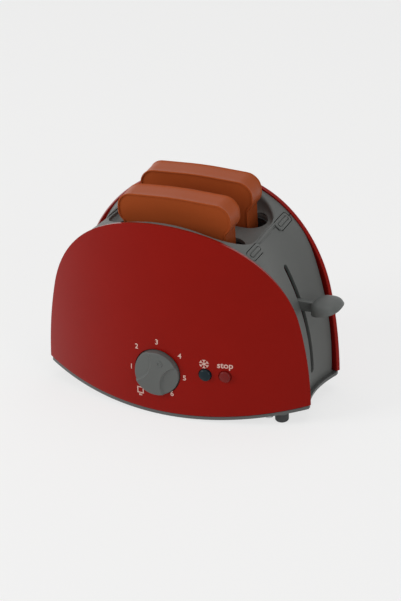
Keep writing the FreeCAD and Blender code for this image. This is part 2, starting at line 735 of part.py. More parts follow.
shell, bosses, pilots = panel_parts(-1)
carrier_points = [
    (carrier_middle, button_level - carrier_screw_rise),
    (carrier_middle, button_level + carrier_screw_rise),
]
for number, (x, level) in enumerate(carrier_points, 1):
    start = panel_wall / 2 - panel_face(x, level)
    bosses.append(rod(f"carrier_boss{number}", "y", panel_boss, (x, start, level), -carrier_face - start))
    pilots.append(rod(f"carrier_pilot{number}", "y", screw_radius, (x, start, level), -carrier_face - start))
plate_points = []
for angle in (90, 210, 330):
    plate_points.append((dial_x + plate_screw_ring * cosine(angle), dial_level + plate_screw_ring * sine(angle)))
for number, (x, level) in enumerate(plate_points, 1):
    start = panel_wall / 2 - panel_face(x, level)
    bosses.append(rod(f"dial_boss{number}", "y", panel_boss, (x, start, level), -plate_front - start))
    pilots.append(rod(f"dial_pilot{number}", "y", screw_radius, (x, start, level), -plate_front - start))
openings = [rod("knob_hole", "y", knob_radius + knob_gap, (dial_x, -outside, dial_level), outside - plate_front)]
for name, x, radius in (("stop", stop_x, stop_radius), ("defrost", defrost_x, defrost_radius)):
    reach = outside - carrier_face
    openings.append(rod(f"{name}_hole", "y", radius + button_gap, (x, -outside, button_level), reach))
keep(cut("front_panel", fuse("front_joined", shell, *bosses), *pilots, *openings), "front_panel")

# ---------------------------------------------------------------- grey covers
cover_side = panel_wall + panel_gap
cover_outer = cut(
    "cover_outer",
    common("cover_form", dome_block("dome_cover", cover_inset), lens_block("lens_cover", cover_side),
           bow_block("cover_foot", lip_gap - 0.05)),
    *waist_rings("waist_cover", dim(0)),
)
cover_inner = cut(
    "cover_inner",
    common("cavity_form", dome_block("dome_cavity", cover_inset + cover_wall),
           lens_block("lens_cavity", cover_side + cover_wall)),
    *waist_rings("waist_cavity", -cover_wall),
)
cover_shell = cut("cover_shell", cover_outer, cover_inner)

tub = common(
    "tub",
    rounded_block("tub_block", well_half + cover_wall, well_side + cover_wall, well_corner + cover_wall,
                  well_floor, dome_top),
    cover_outer,
)
well = rounded_block("well", well_half, well_side, well_corner, well_floor, dome_top)

boss_points = [(-boss_x, -boss_y), (-boss_x, boss_y), (boss_x, -boss_y), (boss_x, boss_y)]
cover_bosses, cover_pilots = [], []
for number, (x, y) in enumerate(boss_points, 1):
    column = rod(f"cover_column{number}", "z", boss_radius, (x, y, underneath), boss_top - underneath)
    cover_bosses.append(common(f"cover_boss{number}", column, cover_outer))
    cover_pilots.append(rod(f"cover_pilot{number}", "z", screw_radius, (x, y, underneath), boss_top - underneath - 2))

screw_windows, screw_rings = [], []
for side in (-1, 1):
    for number, (x, level) in enumerate(panel_screw_points, 1):
        name = f"{SIDE_NAME[side]}_window{number}"
        face = panel_face(x, level)
        inside = face - panel_wall - panel_step
        far, near = span_y(side, face, inside - seat_rise - 1)
        screw_windows.append(rod(name, "y", panel_boss + boss_gap, (x, far, level), near - far))
        far, near = span_y(side, inside + cover_wall / 4, inside - seat_rise)
        screw_rings.append(rod(f"{name}_ring", "y", screw_head + 0.5, (x, far, level), near - far))

window_right = seam_place - 3
window_left = dial_x - plate_radius - 3
window_top = dial_level + plate_radius + 3
window_depth = carrier_face - 4.5
control_window = block("control_window", (window_left, window_right), (-outside, -window_depth),
                       (underneath, window_top))

clip_layer = cut(
    "clip_layer",
    common("clip_shell", cover_outer, fuse("clip_sides", *[
        block(f"clip_side_{SIDE_NAME[side]}", (seam_place - 20, seam_place + 20),
              span_y(side, outside, clip_inner_end - 5), (well_floor - 25, dome_top)) for side in (-1, 1)])),
    dome_block("dome_clip", cover_inset + clip_wall),
)
clip_rise = root((shoulder_radius - cover_inset) * (shoulder_radius - cover_inset)
                 - (seam_place - shoulder_x) * (seam_place - shoulder_x))
clip_level = shoulder_z + clip_rise
clip_slope = math.degrees(math.atan2(float(seam_place - shoulder_x), float(clip_rise)))


def clip_prism(label, side, spare):
    """A slot-shaped prism square to the dome at the seam, with spare material all round."""
    sketch = doc.addObject("Sketcher::SketchObject", f"{label}_sketch")
    sketch.Placement = Placement(Vector(), Rotation(Vector(0, 1, 0), clip_slope))
    put(sketch, seam_place, 0, clip_level)
    sketch.setExpression(
        "Placement.Rotation.Angle",
        f"atan2({(seam_place - shoulder_x).formula}; {clip_rise.formula})",
    )
    half_u = clip_width / 2 + spare
    middle = (clip_inner_end + clip_length / 2) * side
    draw_rounded(sketch, 0, middle, half_u, clip_length / 2 + spare, clip_width / 3)
    prism = doc.addObject("Part::Extrusion", label)
    prism.Base = sketch
    prism.DirMode = "Normal"
    prism.Solid = True
    prism.Symmetric = True
    bind(prism, "LengthFwd", cover_wall * 6)
    return prism


clip_pockets = []
for side in (-1, 1):
    name = SIDE_NAME[side]
    keep(common(f"{name}_clip", clip_layer, clip_prism(f"{name}_clip_prism", side, dim(0))), f"{name}_clip")
    clip_pockets.append(common(f"{name}_clip_pocket", clip_layer, clip_prism(f"{name}_pocket_prism", side, clip_gap)))

cover_whole = cut(
    "cover_whole",
    fuse("cover_joined", cover_shell, tub, *cover_bosses, *screw_rings),
    well, *cover_pilots, *screw_windows, *clip_pockets,
)
left_space = block("left_space", (-half_length, seam_place - seam_gap / 2), (-outside, outside),
                   (underneath, dome_top + 5))
right_space = block("right_space", (seam_place + seam_gap / 2, half_length), (-outside, outside),
                    (underneath, dome_top + 5))
keep(cut("top_cover", common("top_part", cover_whole, left_space), control_window), "top_cover")

slot_low = arm_level - arm_height / 2 - lift_down - arm_gap + lever_slot_side
slot_high = arm_level + arm_height / 2 + lift_up + arm_gap - lever_slot_side
lever_slot = fuse(
    "lever_slot",
    block("lever_slot_middle", (seam_place + 3, half_length), (-lever_slot_side, lever_slot_side),
          (slot_low, slot_high)),
    rod("lever_slot_low", "x", lever_slot_side, (seam_place + 3, 0, slot_low), half_length - seam_place),
    rod("lever_slot_high", "x", lever_slot_side, (seam_place + 3, 0, slot_high), half_length - seam_place),
)
keep(cut("end_cover", common("end_part", cover_whole, right_space), lever_slot), "end_cover")

# ---------------------------------------------------------------- base plate, feet and base screws
base_slab = cut(
    "base_slab",
    common("base_form", lens_block("lens_base", lip_side), dome_block("dome_base", lip_end),
           cut("base_layer", bow_block("base_under", lip_gap + base_wall), bow_block("base_over", lip_gap))),
    *waist_rings("waist_base", lip_reach),
)
foot_points = [(-left_foot_x, -left_foot_y), (-left_foot_x, left_foot_y), (foot_x, -foot_y), (foot_x, foot_y)]
foot_heights = [left_foot_height, left_foot_height, foot_height, foot_height]
FOOT_NAMES = ("foot_front_left", "foot_back_left", "foot_front_right", "foot_back_right")
frame_screw_points = [
    (-frame_screw_left, dim(0)),
    (frame_screw_right, dim(0)),
    (rod_x + 6, frame_screw_side),
    (rod_x + 6, -frame_screw_side + 2),
]
post_radius = boss_radius - 0.25
base_adds, base_holes, base_screw_list = [], [], []
for number, ((x, y), high) in enumerate(zip(foot_points, foot_heights), 1):
    base_adds.append(rod(f"foot_seat{number}", "z", foot_radius + 0.5, (x, y, high),
                         floor_at(x) - high - base_wall / 2))
    base_holes.append(rod(f"foot_hole{number}", "z", foot_stem, (x, y, underneath), floor_at(x) + 10 - underneath))
for number, (x, y) in enumerate(frame_screw_points, 1):
    level = floor_at(x) - base_wall / 2
    base_adds.append(rod(f"frame_post{number}", "z", post_radius, (x, y, level), frame_floor - level))
head_room = base_wall + 0.7
for number, (x, y) in enumerate(frame_screw_points + boss_points, 1):
    base_holes.append(rod(f"base_hole{number}", "z", screw_hole, (x, y, underneath), frame_floor + 2 - underneath))
    seat = floor_at(x) - head_room
    base_adds.append(rod(f"screw_seat{number}", "z", screw_head + 0.8, (x, y, seat), head_room - base_wall / 2))
    base_screw_list.append(screw(f"base_screw{number}", "z", 1, x, y, seat, screw_length))
keep(cut("base_plate", fuse("base_joined", base_slab, *base_adds), *base_holes), "base_plate")
keep(group("base_screws", base_screw_list), "base_screws")

for label, (x, y), high in zip(FOOT_NAMES, foot_points, foot_heights):
    foot = Piece(label)
    foot.pad("xy", dim(0), high, draw_circle, x, y, foot_radius)
    foot.round_edges(foot_radius / 3, lambda edge: edge.BoundBox.ZMax < 0.01)
    foot.pad("xy", high, floor_at(x) - high, draw_circle, x, y, foot_stem)
    keep(foot.body, label)

# ---------------------------------------------------------------- well plate, toast chutes and inner frame
plate_low = well_floor - cover_wall
chute_top = plate_low - socket_gap * 2
frame_top = frame_floor + frame_wall


def chute_space(label, side, spare, low, high):
    """The room that a chute fills, with spare material all round."""
    return stadium_block(label, slot_y * side, slot_half + chute_wall + spare, slot_radius + chute_wall + spare,
                         low, high)


plate_slots, collars, collar_spaces, sockets, socket_spaces = [], [], [], [], []
for side in (-1, 1):
    name = SIDE_NAME[side]
    socket_spare = socket_gap + socket_wall
    plate_slots.append(stadium_block(f"{name}_slot", slot_y * side, slot_half, slot_radius,
                                     plate_low - 1, well_floor + 1))
    collars.append(chute_space(f"{name}_collar", side, socket_spare, plate_low - socket_height, well_floor))
    collar_spaces.append(chute_space(f"{name}_collar_space", side, socket_gap, plate_low - socket_height, plate_low))
    sockets.append(chute_space(f"{name}_socket", side, socket_spare, frame_floor, frame_top + socket_height))
    socket_spaces.append(chute_space(f"{name}_socket_space", side, socket_gap, frame_top,
                                     frame_top + socket_height))
    slit_side = finger_side + finger_gap
    slit = block(f"{name}_slit", (slot_half - 6, slot_half + 6),
                 (slot_y * side - slit_side, slot_y * side + slit_side),
                 (tray_level - finger_depth - lift_down - finger_gap, tray_level + lift_up + 4))
    keep(cut(f"{name}_chute", chute_space(f"{name}_tube", side, dim(0), frame_top, chute_top),
             stadium_block(f"{name}_toast_space", slot_y * side, slot_half, slot_radius, frame_top, chute_top),
             slit), f"{name}_chute")
plate_block = rounded_block("plate_block", well_half + cover_wall, well_side + cover_wall,
                            well_corner + cover_wall, plate_low, well_floor)
plate_form = common("plate_form", fuse("plate_joined", plate_block, *collars),
                    dome_block("dome_plate", cover_inset + cover_wall + plate_gap))
keep(cut("well_plate", plate_form, *waist_rings("waist_plate", -(cover_wall + plate_gap)), *collar_spaces,
         *plate_slots), "well_plate")

rib_side = slot_y - slot_radius - chute_wall - socket_gap - socket_wall * 1.2
mast_x = slot_half - 12
mast_wall = frame_wall * 1.5
frame_solids = [
    block("frame_plate", (-slot_half - 4, frame_end), (-frame_side, frame_side), (frame_floor, frame_top)),
    block("frame_rib", (-mast_x, -mast_x + mast_wall), (-rib_side, rib_side), (frame_floor, chute_top)),
    block("frame_mast", (mast_x, mast_x + mast_wall), (-rib_side, rib_side), (frame_floor, chute_top)),
    block("frame_bracket", (mast_x, rod_x + 6), (-rib_side, rib_side), (bracket_level, bracket_level + bracket_wall)),
    rod("rod_socket", "z", rod_radius + 2, (rod_x, 0, frame_floor), frame_wall + 2),
    rod("latch_post", "z", latch_hub, (latch_x, -latch_y, frame_floor), latch_level - frame_floor - 0.3),
]
frame_holes = [
    rod("rod_hole", "z", rod_radius, (rod_x, 0, frame_floor + 1), bracket_level + 10),
    rod("latch_pin_hole", "z", latch_pin_radius, (latch_x, -latch_y, latch_level - 8), 10),
]
for number, (x, y) in enumerate(frame_screw_points, 1):
    frame_solids.append(rod(f"frame_boss{number}", "z", post_radius, (x, y, frame_floor), boss_top - frame_floor - 6))
    frame_holes.append(rod(f"frame_pilot{number}", "z", screw_radius, (x, y, frame_floor - 1),
                           boss_top - frame_floor - 7))
keep(cut("inner_frame", fuse("frame_joined", *sockets, *frame_solids), *socket_spaces, *frame_holes),
     "inner_frame")

# ---------------------------------------------------------------- guide rod, carriage and lever
rod_foot = frame_floor + 1
guide = Piece("guide_rod")
guide.pad("xy", rod_foot, bracket_level + bracket_wall - rod_foot, draw_circle, rod_x, 0, rod_radius)
keep(guide.body, "guide_rod")

beam_low = tray_level - finger_depth
beam_x = slot_half + chute_wall + 1.3
block_start = rod_x - block_back
block_end = rod_x + block_reach
finger_middle = (tray_half + beam_x) / 2
finger_half = (beam_x - tray_half) / 2 + 1
block_top = beam_low + block_height
spring_seat = beam_low + bore_depth
nose_y = block_side + nose_depth
lever_bite = short_screw - root_wall
lever_screw_level = arm_level - arm_height / 2 - screw_head - 1.5
carriage = Piece("carriage")
carriage.pad("xy", beam_low, finger_depth, draw_rounded, beam_x + 2, 0, 2, slot_y + finger_side, 1)
for side in (-1, 1):
    carriage.pad("xy", beam_low, finger_depth, draw_rounded, finger_middle, slot_y * side,
                 finger_half, finger_side, 1)
    carriage.pad("xy", tray_level - tray_wall, tray_wall, draw_rounded, 0, slot_y * side, tray_half, tray_side, 4)
carriage.pad("xy", beam_low, block_height, draw_rounded, (block_start + block_end) / 2, 0,
             (block_end - block_start) / 2, block_side, 1)
carriage.pad("xy", block_top - nose_height, nose_height, draw_polygon, [
    (rod_x, -block_side + 1), (rod_x, -nose_y), (block_end + 0.5, -nose_y), (block_end + 0.5, -block_side - 0.5),
    (block_end - 1, -block_side + 1)])
carriage.pocket("xy", beam_low, block_height, draw_circle, rod_x, 0, rod_radius + running_gap)
carriage.pocket("xy", beam_low, bore_depth, draw_circle, rod_x, 0, lift_coil + lift_wire + spring_gap)
for side in (-1, 1):
    carriage.pocket("yz", block_end - lever_bite, lever_bite, draw_circle, lever_screw_y * side,
                    lever_screw_level, screw_radius)
keep(carriage.body, "carriage")

paddle_turn = Rotation(Vector(0, 1, 0), -float(paddle_tilt))
paddle_sketch = doc.addObject("Sketcher::SketchObject", "paddle_sketch")
paddle_sketch.Placement = Placement(Vector(), paddle_turn)
put(paddle_sketch, paddle_x, 0, arm_level)
paddle_sketch.setExpression("Placement.Rotation.Angle", f"{(-paddle_tilt).formula} * 1deg")
draw_rounded(paddle_sketch, 0, 0, paddle_half, paddle_side, paddle_corner)
paddle = doc.addObject("Part::Extrusion", "paddle")
paddle.Base = paddle_sketch
paddle.DirMode = "Normal"
paddle.Solid = True
bind(paddle, "LengthFwd", paddle_wall)
dome = doc.addObject("Part::Sphere", "paddle_dome_ball")
bind(dome, "Radius", paddle_dome)
dome_rise = paddle_wall - paddle_dome
put(dome, paddle_x - dome_rise * sine(paddle_tilt), 0, arm_level + dome_rise * cosine(paddle_tilt))
paddle_inner = paddle_x - paddle_half * cosine(paddle_tilt)
lever_form = fuse(
    "lever_form",
    common("paddle_domed", paddle, dome),
    block("lever_arm", (block_end, paddle_inner + 2), (-arm_side, arm_side),
          (arm_level - arm_height / 2, arm_level + arm_height / 2)),
    block("lever_root", (block_end, block_end + root_wall), (-block_side, block_side),
          (lever_screw_level - screw_head - 0.5, arm_level + arm_height / 2)),
)
lever_holes, lever_screw_list = [], []
for side in (-1, 1):
    y = lever_screw_y * side
    name = SIDE_NAME[side]
    lever_holes.append(rod(f"lever_hole_{name}", "x", screw_hole, (block_end - 1, y, lever_screw_level),
                           root_wall + 2))
    lever_screw_list.append(screw(f"lever_screw_{name}", "x", -1, block_end + root_wall, y, lever_screw_level,
                                  short_screw - 0.5))
keep(cut("lever", lever_form, *lever_holes), "lever")
keep(group("lever_screws", lever_screw_list), "lever_screws")


def coil(label, axis, radius, wire, turns, start, reach):
    """A compression spring: a round wire swept along a helix."""
    path = doc.addObject("Part::Helix", f"{label}_path")
    usable = dim(reach) - wire * 2
    bind(path, "Radius", radius)
    bind(path, "Pitch", usable / turns)
    bind(path, "Height", usable)
    path.SegmentLength = 1    # one edge for each turn
    doc.recompute()
    section = doc.addObject("Part::Circle", f"{label}_wire")
    bind(section, "Radius", wire)
    bind(section, "Placement.Base.x", radius)
    section.Placement = Placement(Vector(float(radius), 0, 0), Rotation(Vector(1, 0, 0), 90))
    spring = doc.addObject("Part::Sweep", f"{label}_sweep")
    spring.Sections = [section]
    spring.Spine = (path, [f"Edge{number}" for number in range(1, len(path.Shape.Edges) + 1)])
    spring.Solid = True
    spring.Frenet = True
    return spring


def keep_coil(label, axis, radius, wire, turns, start, reach):
    """Build a spring along +Z, then lay it along its axis at its place."""
    spring = coil(label, axis, radius, wire, turns, start, reach)
    placed = doc.addObject("Part::Compound", label)
    placed.Links = [spring]
    placed.Placement = Placement(Vector(), AXIS_TURN[axis])
    first = list(start)
    place = "xyz".index(axis)
    first[place] = dim(first[place]) + wire
    put(placed, *first)
    return keep(placed, label)


spring_foot = frame_top + 2
keep_coil("lift_spring", "z", lift_coil, lift_wire, lift_turns, (rod_x, 0, spring_foot), spring_seat - spring_foot)

# ---------------------------------------------------------------- buttons, their carrier and the latch
stem_tip = latch_y + arm_offset + stem_gap
for name, x, radius in (("stop", stop_x, stop_radius), ("defrost", defrost_x, defrost_radius)):
    front = panel_face(x, button_level) + button_proud
    flange_front = panel_face(x + radius + flange_lip, button_level) - panel_wall - 0.3
    flange_back = flange_front - flange_wall
    button = Piece(f"{name}_button")
    # the XZ plane's normal points to -Y, so offsets are distances from the middle plane
    button.pad("xz", flange_front, front - flange_front, draw_circle, x, button_level, radius)
    button.round_edges(button_round, lambda edge, face=front: abs(edge.BoundBox.YMin + float(face)) < 0.01
                       and abs(edge.BoundBox.YMax + float(face)) < 0.01)
    button.pad("xz", flange_back, flange_wall, draw_circle, x, button_level, radius + flange_lip)
    button.pad("xz", stem_tip, flange_back - stem_tip, draw_circle, x, button_level, stem_radius)
    keep(button.body, f"{name}_button")
    keep_coil(f"{name}_spring", "y", button_coil, button_wire, button_turns,
              (x, -flange_back, button_level), flange_back - carrier_face)

carrier = Piece("button_carrier")
carrier_back = carrier_face - carrier_wall
carrier.pad("xz", carrier_back, carrier_wall, draw_rounded, carrier_middle, button_level,
            carrier_side, carrier_screw_rise + screw_head + 0.5, 3)
for x in (stop_x, defrost_x):
    carrier.pocket("xz", carrier_back, carrier_wall, draw_circle, x, button_level, stem_radius + 0.2)
for x, level in carrier_points:
    carrier.pocket("xz", carrier_back, carrier_wall, draw_circle, x, level, screw_hole)
keep(carrier.body, "button_carrier")
keep(group("carrier_screws", [
    screw(f"carrier_screw{number}", "y", -1, x, -carrier_back, level, short_screw)
    for number, (x, level) in enumerate(carrier_points, 1)]), "carrier_screws")

latch = Piece("latch")
hook_x = block_end + 0.5 + hook_gap
arm_outer = latch_y + arm_offset
arm_tip = stop_x - latch_arm_spare
latch.pad("xy", latch_level, latch_height, draw_circle, latch_x, -latch_y, latch_hub)
latch.pad("xy", latch_level + 1, latch_height - 2, draw_polygon, [
    (arm_tip, -arm_outer), (latch_x, -arm_outer), (latch_x, -arm_outer + latch_arm_wall),
    (arm_tip, -arm_outer + latch_arm_wall)])
latch.pad("xy", latch_level + latch_height - latch_wall, latch_wall, draw_polygon, [
    (hook_x, -latch_y), (hook_x + latch_wall, -latch_y), (hook_x + latch_wall, -block_side - 1),
    (hook_x, -block_side - 1)])
latch.pocket("xy", latch_level, latch_height, draw_circle, latch_x, -latch_y, latch_pin_radius + running_gap)
keep(latch.body, "latch")

pin = Piece("latch_pin")
pin_foot = latch_level - 8
pin_neck = latch_level + latch_height + 0.3
pin.pad("xy", pin_foot, pin_neck - pin_foot, draw_circle, latch_x, -latch_y, latch_pin_radius)
pin.pad("xy", pin_neck, dim(1), draw_circle, latch_x, -latch_y, latch_pin_radius + 1)
keep(pin.body, "latch_pin")

# ---------------------------------------------------------------- dial
knob = Piece("knob")
knob.pad("xz", knob_back, knob_front - knob_back, draw_circle, dial_x, dial_level, knob_radius)
knob.round_edges(knob_round, lambda edge: abs(edge.BoundBox.YMax + float(knob_front)) < 0.01)
for turn in (-90, 90):
    heading = knob_pointing + turn
    u = dial_x + scallop_reach * sine(heading)
    v = dial_level + scallop_reach * cosine(heading)
    knob.pocket("xz", knob_front - scallop_depth, scallop_depth, draw_circle, u, v, scallop_radius)
knob.pocket("xz", knob_front - 0.5, dim(0.5), draw_circle, dial_x + pointer_place * sine(knob_pointing),
            dial_level + pointer_place * cosine(knob_pointing), pointer_radius)
knob.pad("xz", plate_front + 0.1, knob_back - plate_front - 0.1, draw_circle, dial_x, dial_level,
         spindle_radius + 2)
knob.pad("xz", spindle_end, plate_front + 0.1 - spindle_end, draw_circle, dial_x, dial_level, spindle_radius)
knob.pocket("xz", spindle_end, short_screw, draw_circle, dial_x, dial_level, screw_radius)
keep(knob.body, "knob")

plate = Piece("dial_plate")
plate_back = plate_front - plate_wall
plate.pad("xz", plate_back, plate_wall, draw_circle, dial_x, dial_level, plate_radius)
plate.pocket("xz", plate_back, plate_wall, draw_circle, dial_x, dial_level, spindle_radius + running_gap)
for x, level in plate_points:
    plate.pocket("xz", plate_back, plate_wall, draw_circle, x, level, screw_hole)
leaf_screw_x = dial_x - wheel_radius - 3
leaf_level = dial_level + wheel_radius + 0.15
leaf_screw_level = leaf_level + leaf_wall + screw_head + 0.3
tab_height = leaf_screw_level + screw_head + 0.5 - leaf_level
plate.pocket("xz", plate_back, plate_wall, draw_circle, leaf_screw_x, leaf_screw_level, screw_radius)
keep(plate.body, "dial_plate")
plate_screws = [
    screw(f"plate_screw{number}", "y", -1, x, -plate_back, level, plate_wall + 1.6)
    for number, (x, level) in enumerate(plate_points, 1)]
keep(group("dial_screws", plate_screws), "dial_screws")

wheel = Piece("click_wheel")
wheel_front = plate_back - 0.2
wheel_back = wheel_front - wheel_wall
wheel.pad("xz", wheel_back, wheel_wall, draw_circle, dial_x, dial_level, wheel_radius)
wheel.pocket("xz", wheel_back, wheel_wall, draw_circle, dial_x, dial_level, spindle_radius)
for notch in range(int(float(click_count))):
    heading = 360 / click_count * (notch + 0.5)
    u = dial_x + (wheel_radius + click_radius / 2) * sine(heading)
    v = dial_level + (wheel_radius + click_radius / 2) * cosine(heading)
    wheel.pocket("xz", wheel_back, wheel_wall, draw_circle, u, v, click_radius)
keep(wheel.body, "click_wheel")

leaf = Piece("click_spring")
leaf.pad("xz", wheel_back, wheel_wall, draw_polygon, [
    (leaf_screw_x - 3, leaf_level), (dial_x + 3, leaf_level), (dial_x + 3, leaf_level + leaf_wall),
    (leaf_screw_x - 3, leaf_level + leaf_wall)])
leaf.pad("xz", plate_back - leaf_wall, leaf_wall, draw_polygon, [
    (leaf_screw_x - 3, leaf_level), (leaf_screw_x + 3, leaf_level), (leaf_screw_x + 3, leaf_level + tab_height),
    (leaf_screw_x - 3, leaf_level + tab_height)])
leaf.pocket("xz", plate_back - leaf_wall, leaf_wall, draw_circle, leaf_screw_x, leaf_screw_level, screw_hole)
keep(leaf.body, "click_spring")
keep(screw("click_screw", "y", -1, leaf_screw_x, leaf_wall - plate_back, leaf_screw_level, plate_wall), "click_screw")
keep(screw("knob_screw", "y", -1, dial_x, -spindle_end, dial_level, short_screw - 0.5), "knob_screw")

panel_screw_list = []
for side in (-1, 1):
    for number, (x, level) in enumerate(panel_screw_points, 1):
        inside = panel_face(x, level) - panel_wall - panel_step - seat_rise
        name = f"{SIDE_NAME[side]}_panel_screw{number}"
        panel_screw_list.append(screw(name, "y", side, x, inside * side, level, short_screw - 1))
keep(group("panel_screws", panel_screw_list), "panel_screws")

# ---------------------------------------------------------------- toast slices
slice_top = tray_level + slice_height
head_low = slice_top - head_height


def slice_form(label, inset, low, high):
    """A slice's outline, moved in by inset, between two distances along Y."""
    sketch = loose_sketch(f"{label}_head_sketch", "xz", (0, low, 0))
    draw_rounded(sketch, slice_x, slice_top - head_height / 2, head_half - inset, head_height / 2 - inset,
                 head_corner - inset)
    head = extrude(f"{label}_head", sketch, high - low, Vector(0, 1, 0))
    sketch = loose_sketch(f"{label}_trunk_sketch", "xz", (0, low, 0))
    trunk_high = slice_top - head_height / 2
    draw_rounded(sketch, slice_x, (tray_level + trunk_high) / 2, slice_half - inset,
                 (trunk_high - tray_level) / 2 - inset, slice_corner - inset)
    trunk = extrude(f"{label}_trunk", sketch, high - low, Vector(0, 1, 0))
    stem = block(f"{label}_stem", (slice_x + inset - slice_half, slice_x + slice_half - inset), (low, high),
                 (tray_level + slice_corner * 2, trunk_high))
    crown = rod(f"{label}_crown", "y", crust_crown - inset, (slice_x, low, slice_top - crust_crown), high - low)
    return common(label, fuse(f"{label}_joined", head, trunk, stem), crown)


def slice_plan(label, middle):
    """A slice seen from above, with its ends rounded to pass through the slot."""
    sketch = loose_sketch(f"{label}_sketch", "xy", (0, 0, tray_level - 1))
    draw_rounded(sketch, slice_x, middle, head_half, slice_wall / 2, end_corner)
    return extrude(label, sketch, slice_height + 2)


for slice_side in (-1, 1):
    middle = slot_y * slice_side
    for half_side in (-1, 1):
        label = f"{SIDE_NAME[slice_side]}_slice_{SIDE_NAME[half_side]}"

        def layer(name, inset, near, far):
            bounds = span_y(half_side, dim(far), dim(near))
            return slice_form(f"{label}_{name}", inset, middle + bounds[0], middle + bounds[1])

        face = slice_wall / 2
        whole = common(f"{label}_round", layer("whole", dim(0), half_gap, face), slice_plan(f"{label}_plan", middle))
        recess = layer("recess", crust_width, face - crust_depth, face + 1)
        hollow = layer("hollow", crumb_wall, dim(-1), face - crust_depth - crumb_wall)
        keep(cut(label, whole, recess, hollow), label)

# ---------------------------------------------------------------- check and write
doc.recompute()
for item in doc.Objects:
    if "Invalid" in item.State or "Error" in item.State:
        raise RuntimeError(f"{item.Label} failed: {item.State}")
os.makedirs("parts", exist_ok=True)
for piece in pieces:
    shape = piece.Shape
    if shape.isNull() or not shape.isValid():
        raise RuntimeError(f"{piece.Label} has no valid shape")
    print(f"{piece.Label}: {len(shape.Solids)} solid(s), {shape.Volume:.0f} mm3")
    shape.exportStep(os.path.join("parts", f"{piece.Label}.step"))
print(f"{len(pieces)} sub-parts written")
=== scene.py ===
# %% [markdown]
# # A toy toaster
# The toaster's solids, joints and sizes come from its CAD model, which is loaded as a fixed frame. This
# lesson dresses that frame: smooth glossy panels, softly rounded mouldings, printed marks, and a finish for
# every part.

# %% Load the frame
import json
import math

import bmesh
import bpy
from mathutils import Matrix, Vector


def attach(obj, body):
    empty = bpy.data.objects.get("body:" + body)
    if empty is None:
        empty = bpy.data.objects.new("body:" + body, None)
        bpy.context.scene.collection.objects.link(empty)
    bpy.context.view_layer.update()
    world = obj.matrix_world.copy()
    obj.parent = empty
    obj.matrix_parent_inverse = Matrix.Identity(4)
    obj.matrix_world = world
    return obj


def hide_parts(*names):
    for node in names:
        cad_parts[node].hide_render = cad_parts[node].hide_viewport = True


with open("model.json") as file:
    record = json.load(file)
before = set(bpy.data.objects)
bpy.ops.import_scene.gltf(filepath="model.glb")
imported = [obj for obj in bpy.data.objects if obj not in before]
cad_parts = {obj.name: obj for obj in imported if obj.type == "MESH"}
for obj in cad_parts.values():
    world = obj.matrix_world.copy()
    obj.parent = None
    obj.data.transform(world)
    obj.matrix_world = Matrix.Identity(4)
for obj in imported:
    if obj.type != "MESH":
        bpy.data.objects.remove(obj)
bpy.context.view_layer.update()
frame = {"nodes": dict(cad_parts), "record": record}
nodes = frame["nodes"]
print("CAD nodes:", len(nodes))

# %% [markdown]
# ## Camera
# The camera stands 2.7 m away with a long lens, above the toaster and to the right of its front. A long lens
# from far away gives the flat perspective of a product picture. Its axes are worked out from three angles.

# %% Camera
CAMERA_TURN, CAMERA_RISE, CAMERA_ROLL = (math.radians(angle) for angle in (24.158, 28.064, -1.443))
CAMERA_DISTANCE = 2.7
SENSOR_HEIGHT = 36
FRAME_HEIGHT, FOCAL_PIXELS = 601, 4147
AIM_ASIDE, AIM_LEVEL = 0.004822, 0.059913


def camera_axes():
    """The camera's right, up and back directions."""
    back = Vector((math.sin(CAMERA_TURN) * math.cos(CAMERA_RISE),
                   -math.cos(CAMERA_TURN) * math.cos(CAMERA_RISE), math.sin(CAMERA_RISE)))
    right = Vector((math.cos(CAMERA_TURN), math.sin(CAMERA_TURN), 0))
    up = back.cross(right)
    c, s = math.cos(CAMERA_ROLL), math.sin(CAMERA_ROLL)
    return right * c + up * s, up * c - right * s, back


right, up, back = camera_axes()
aim = Vector((AIM_ASIDE * math.cos(CAMERA_TURN), AIM_ASIDE * math.sin(CAMERA_TURN), AIM_LEVEL))
bpy.ops.object.camera_add()
camera = bpy.context.object
turn = Matrix((right, up, back)).transposed().to_4x4()
camera.matrix_world = Matrix.Translation(aim + back * CAMERA_DISTANCE) @ turn
camera.data.lens = FOCAL_PIXELS / FRAME_HEIGHT * SENSOR_HEIGHT
camera.data.sensor_width = SENSOR_HEIGHT
camera.data.clip_end = 20
bpy.context.scene.camera = camera
print("camera at", [round(v, 3) for v in camera.location])

# %% [markdown]
# ## Small helpers
# Operators act on whatever is selected, so one helper selects a single object, one applies a modifier, and
# one chooses faces, edges or vertices in edit mode by a test on their place or normal.

# %% Modelling helpers
MM = 0.001


def only(piece):
    """Make this the one selected and active object, in object mode."""
    if bpy.context.object and bpy.context.object.mode != "OBJECT":
        bpy.ops.object.mode_set(mode="OBJECT")
    bpy.ops.object.select_all(action="DESELECT")
    piece.select_set(True)
    bpy.context.view_layer.objects.active = piece
    return piece


def bake(piece, kind, **settings):
    """Add a modifier with its settings and apply it."""
    only(piece)
    modifier = piece.modifiers.new(kind.lower(), kind)
    for key, value in settings.items():
        setattr(modifier, key, value)
    bpy.ops.object.modifier_apply(modifier=modifier.name)
    return piece


def choose(piece, kind, test):
    """Enter edit mode with only the vertices, edges or faces selected that pass the test."""
    only(piece)
    bpy.ops.object.mode_set(mode="EDIT")
    bpy.ops.mesh.select_mode(type=kind)
    bpy.ops.mesh.select_all(action="DESELECT")
    shape = bmesh.from_edit_mesh(piece.data)
    for item in {"VERT": shape.verts, "EDGE": shape.edges, "FACE": shape.faces}[kind]:
        item.select = test(item)
    shape.select_flush_mode()
    bmesh.update_edit_mesh(piece.data)


def leave_edit():
    bpy.ops.object.mode_set(mode="OBJECT")


def smooth(piece, angle=35):
    only(piece)
    bpy.ops.object.shade_smooth_by_angle(angle=math.radians(angle))
    return piece


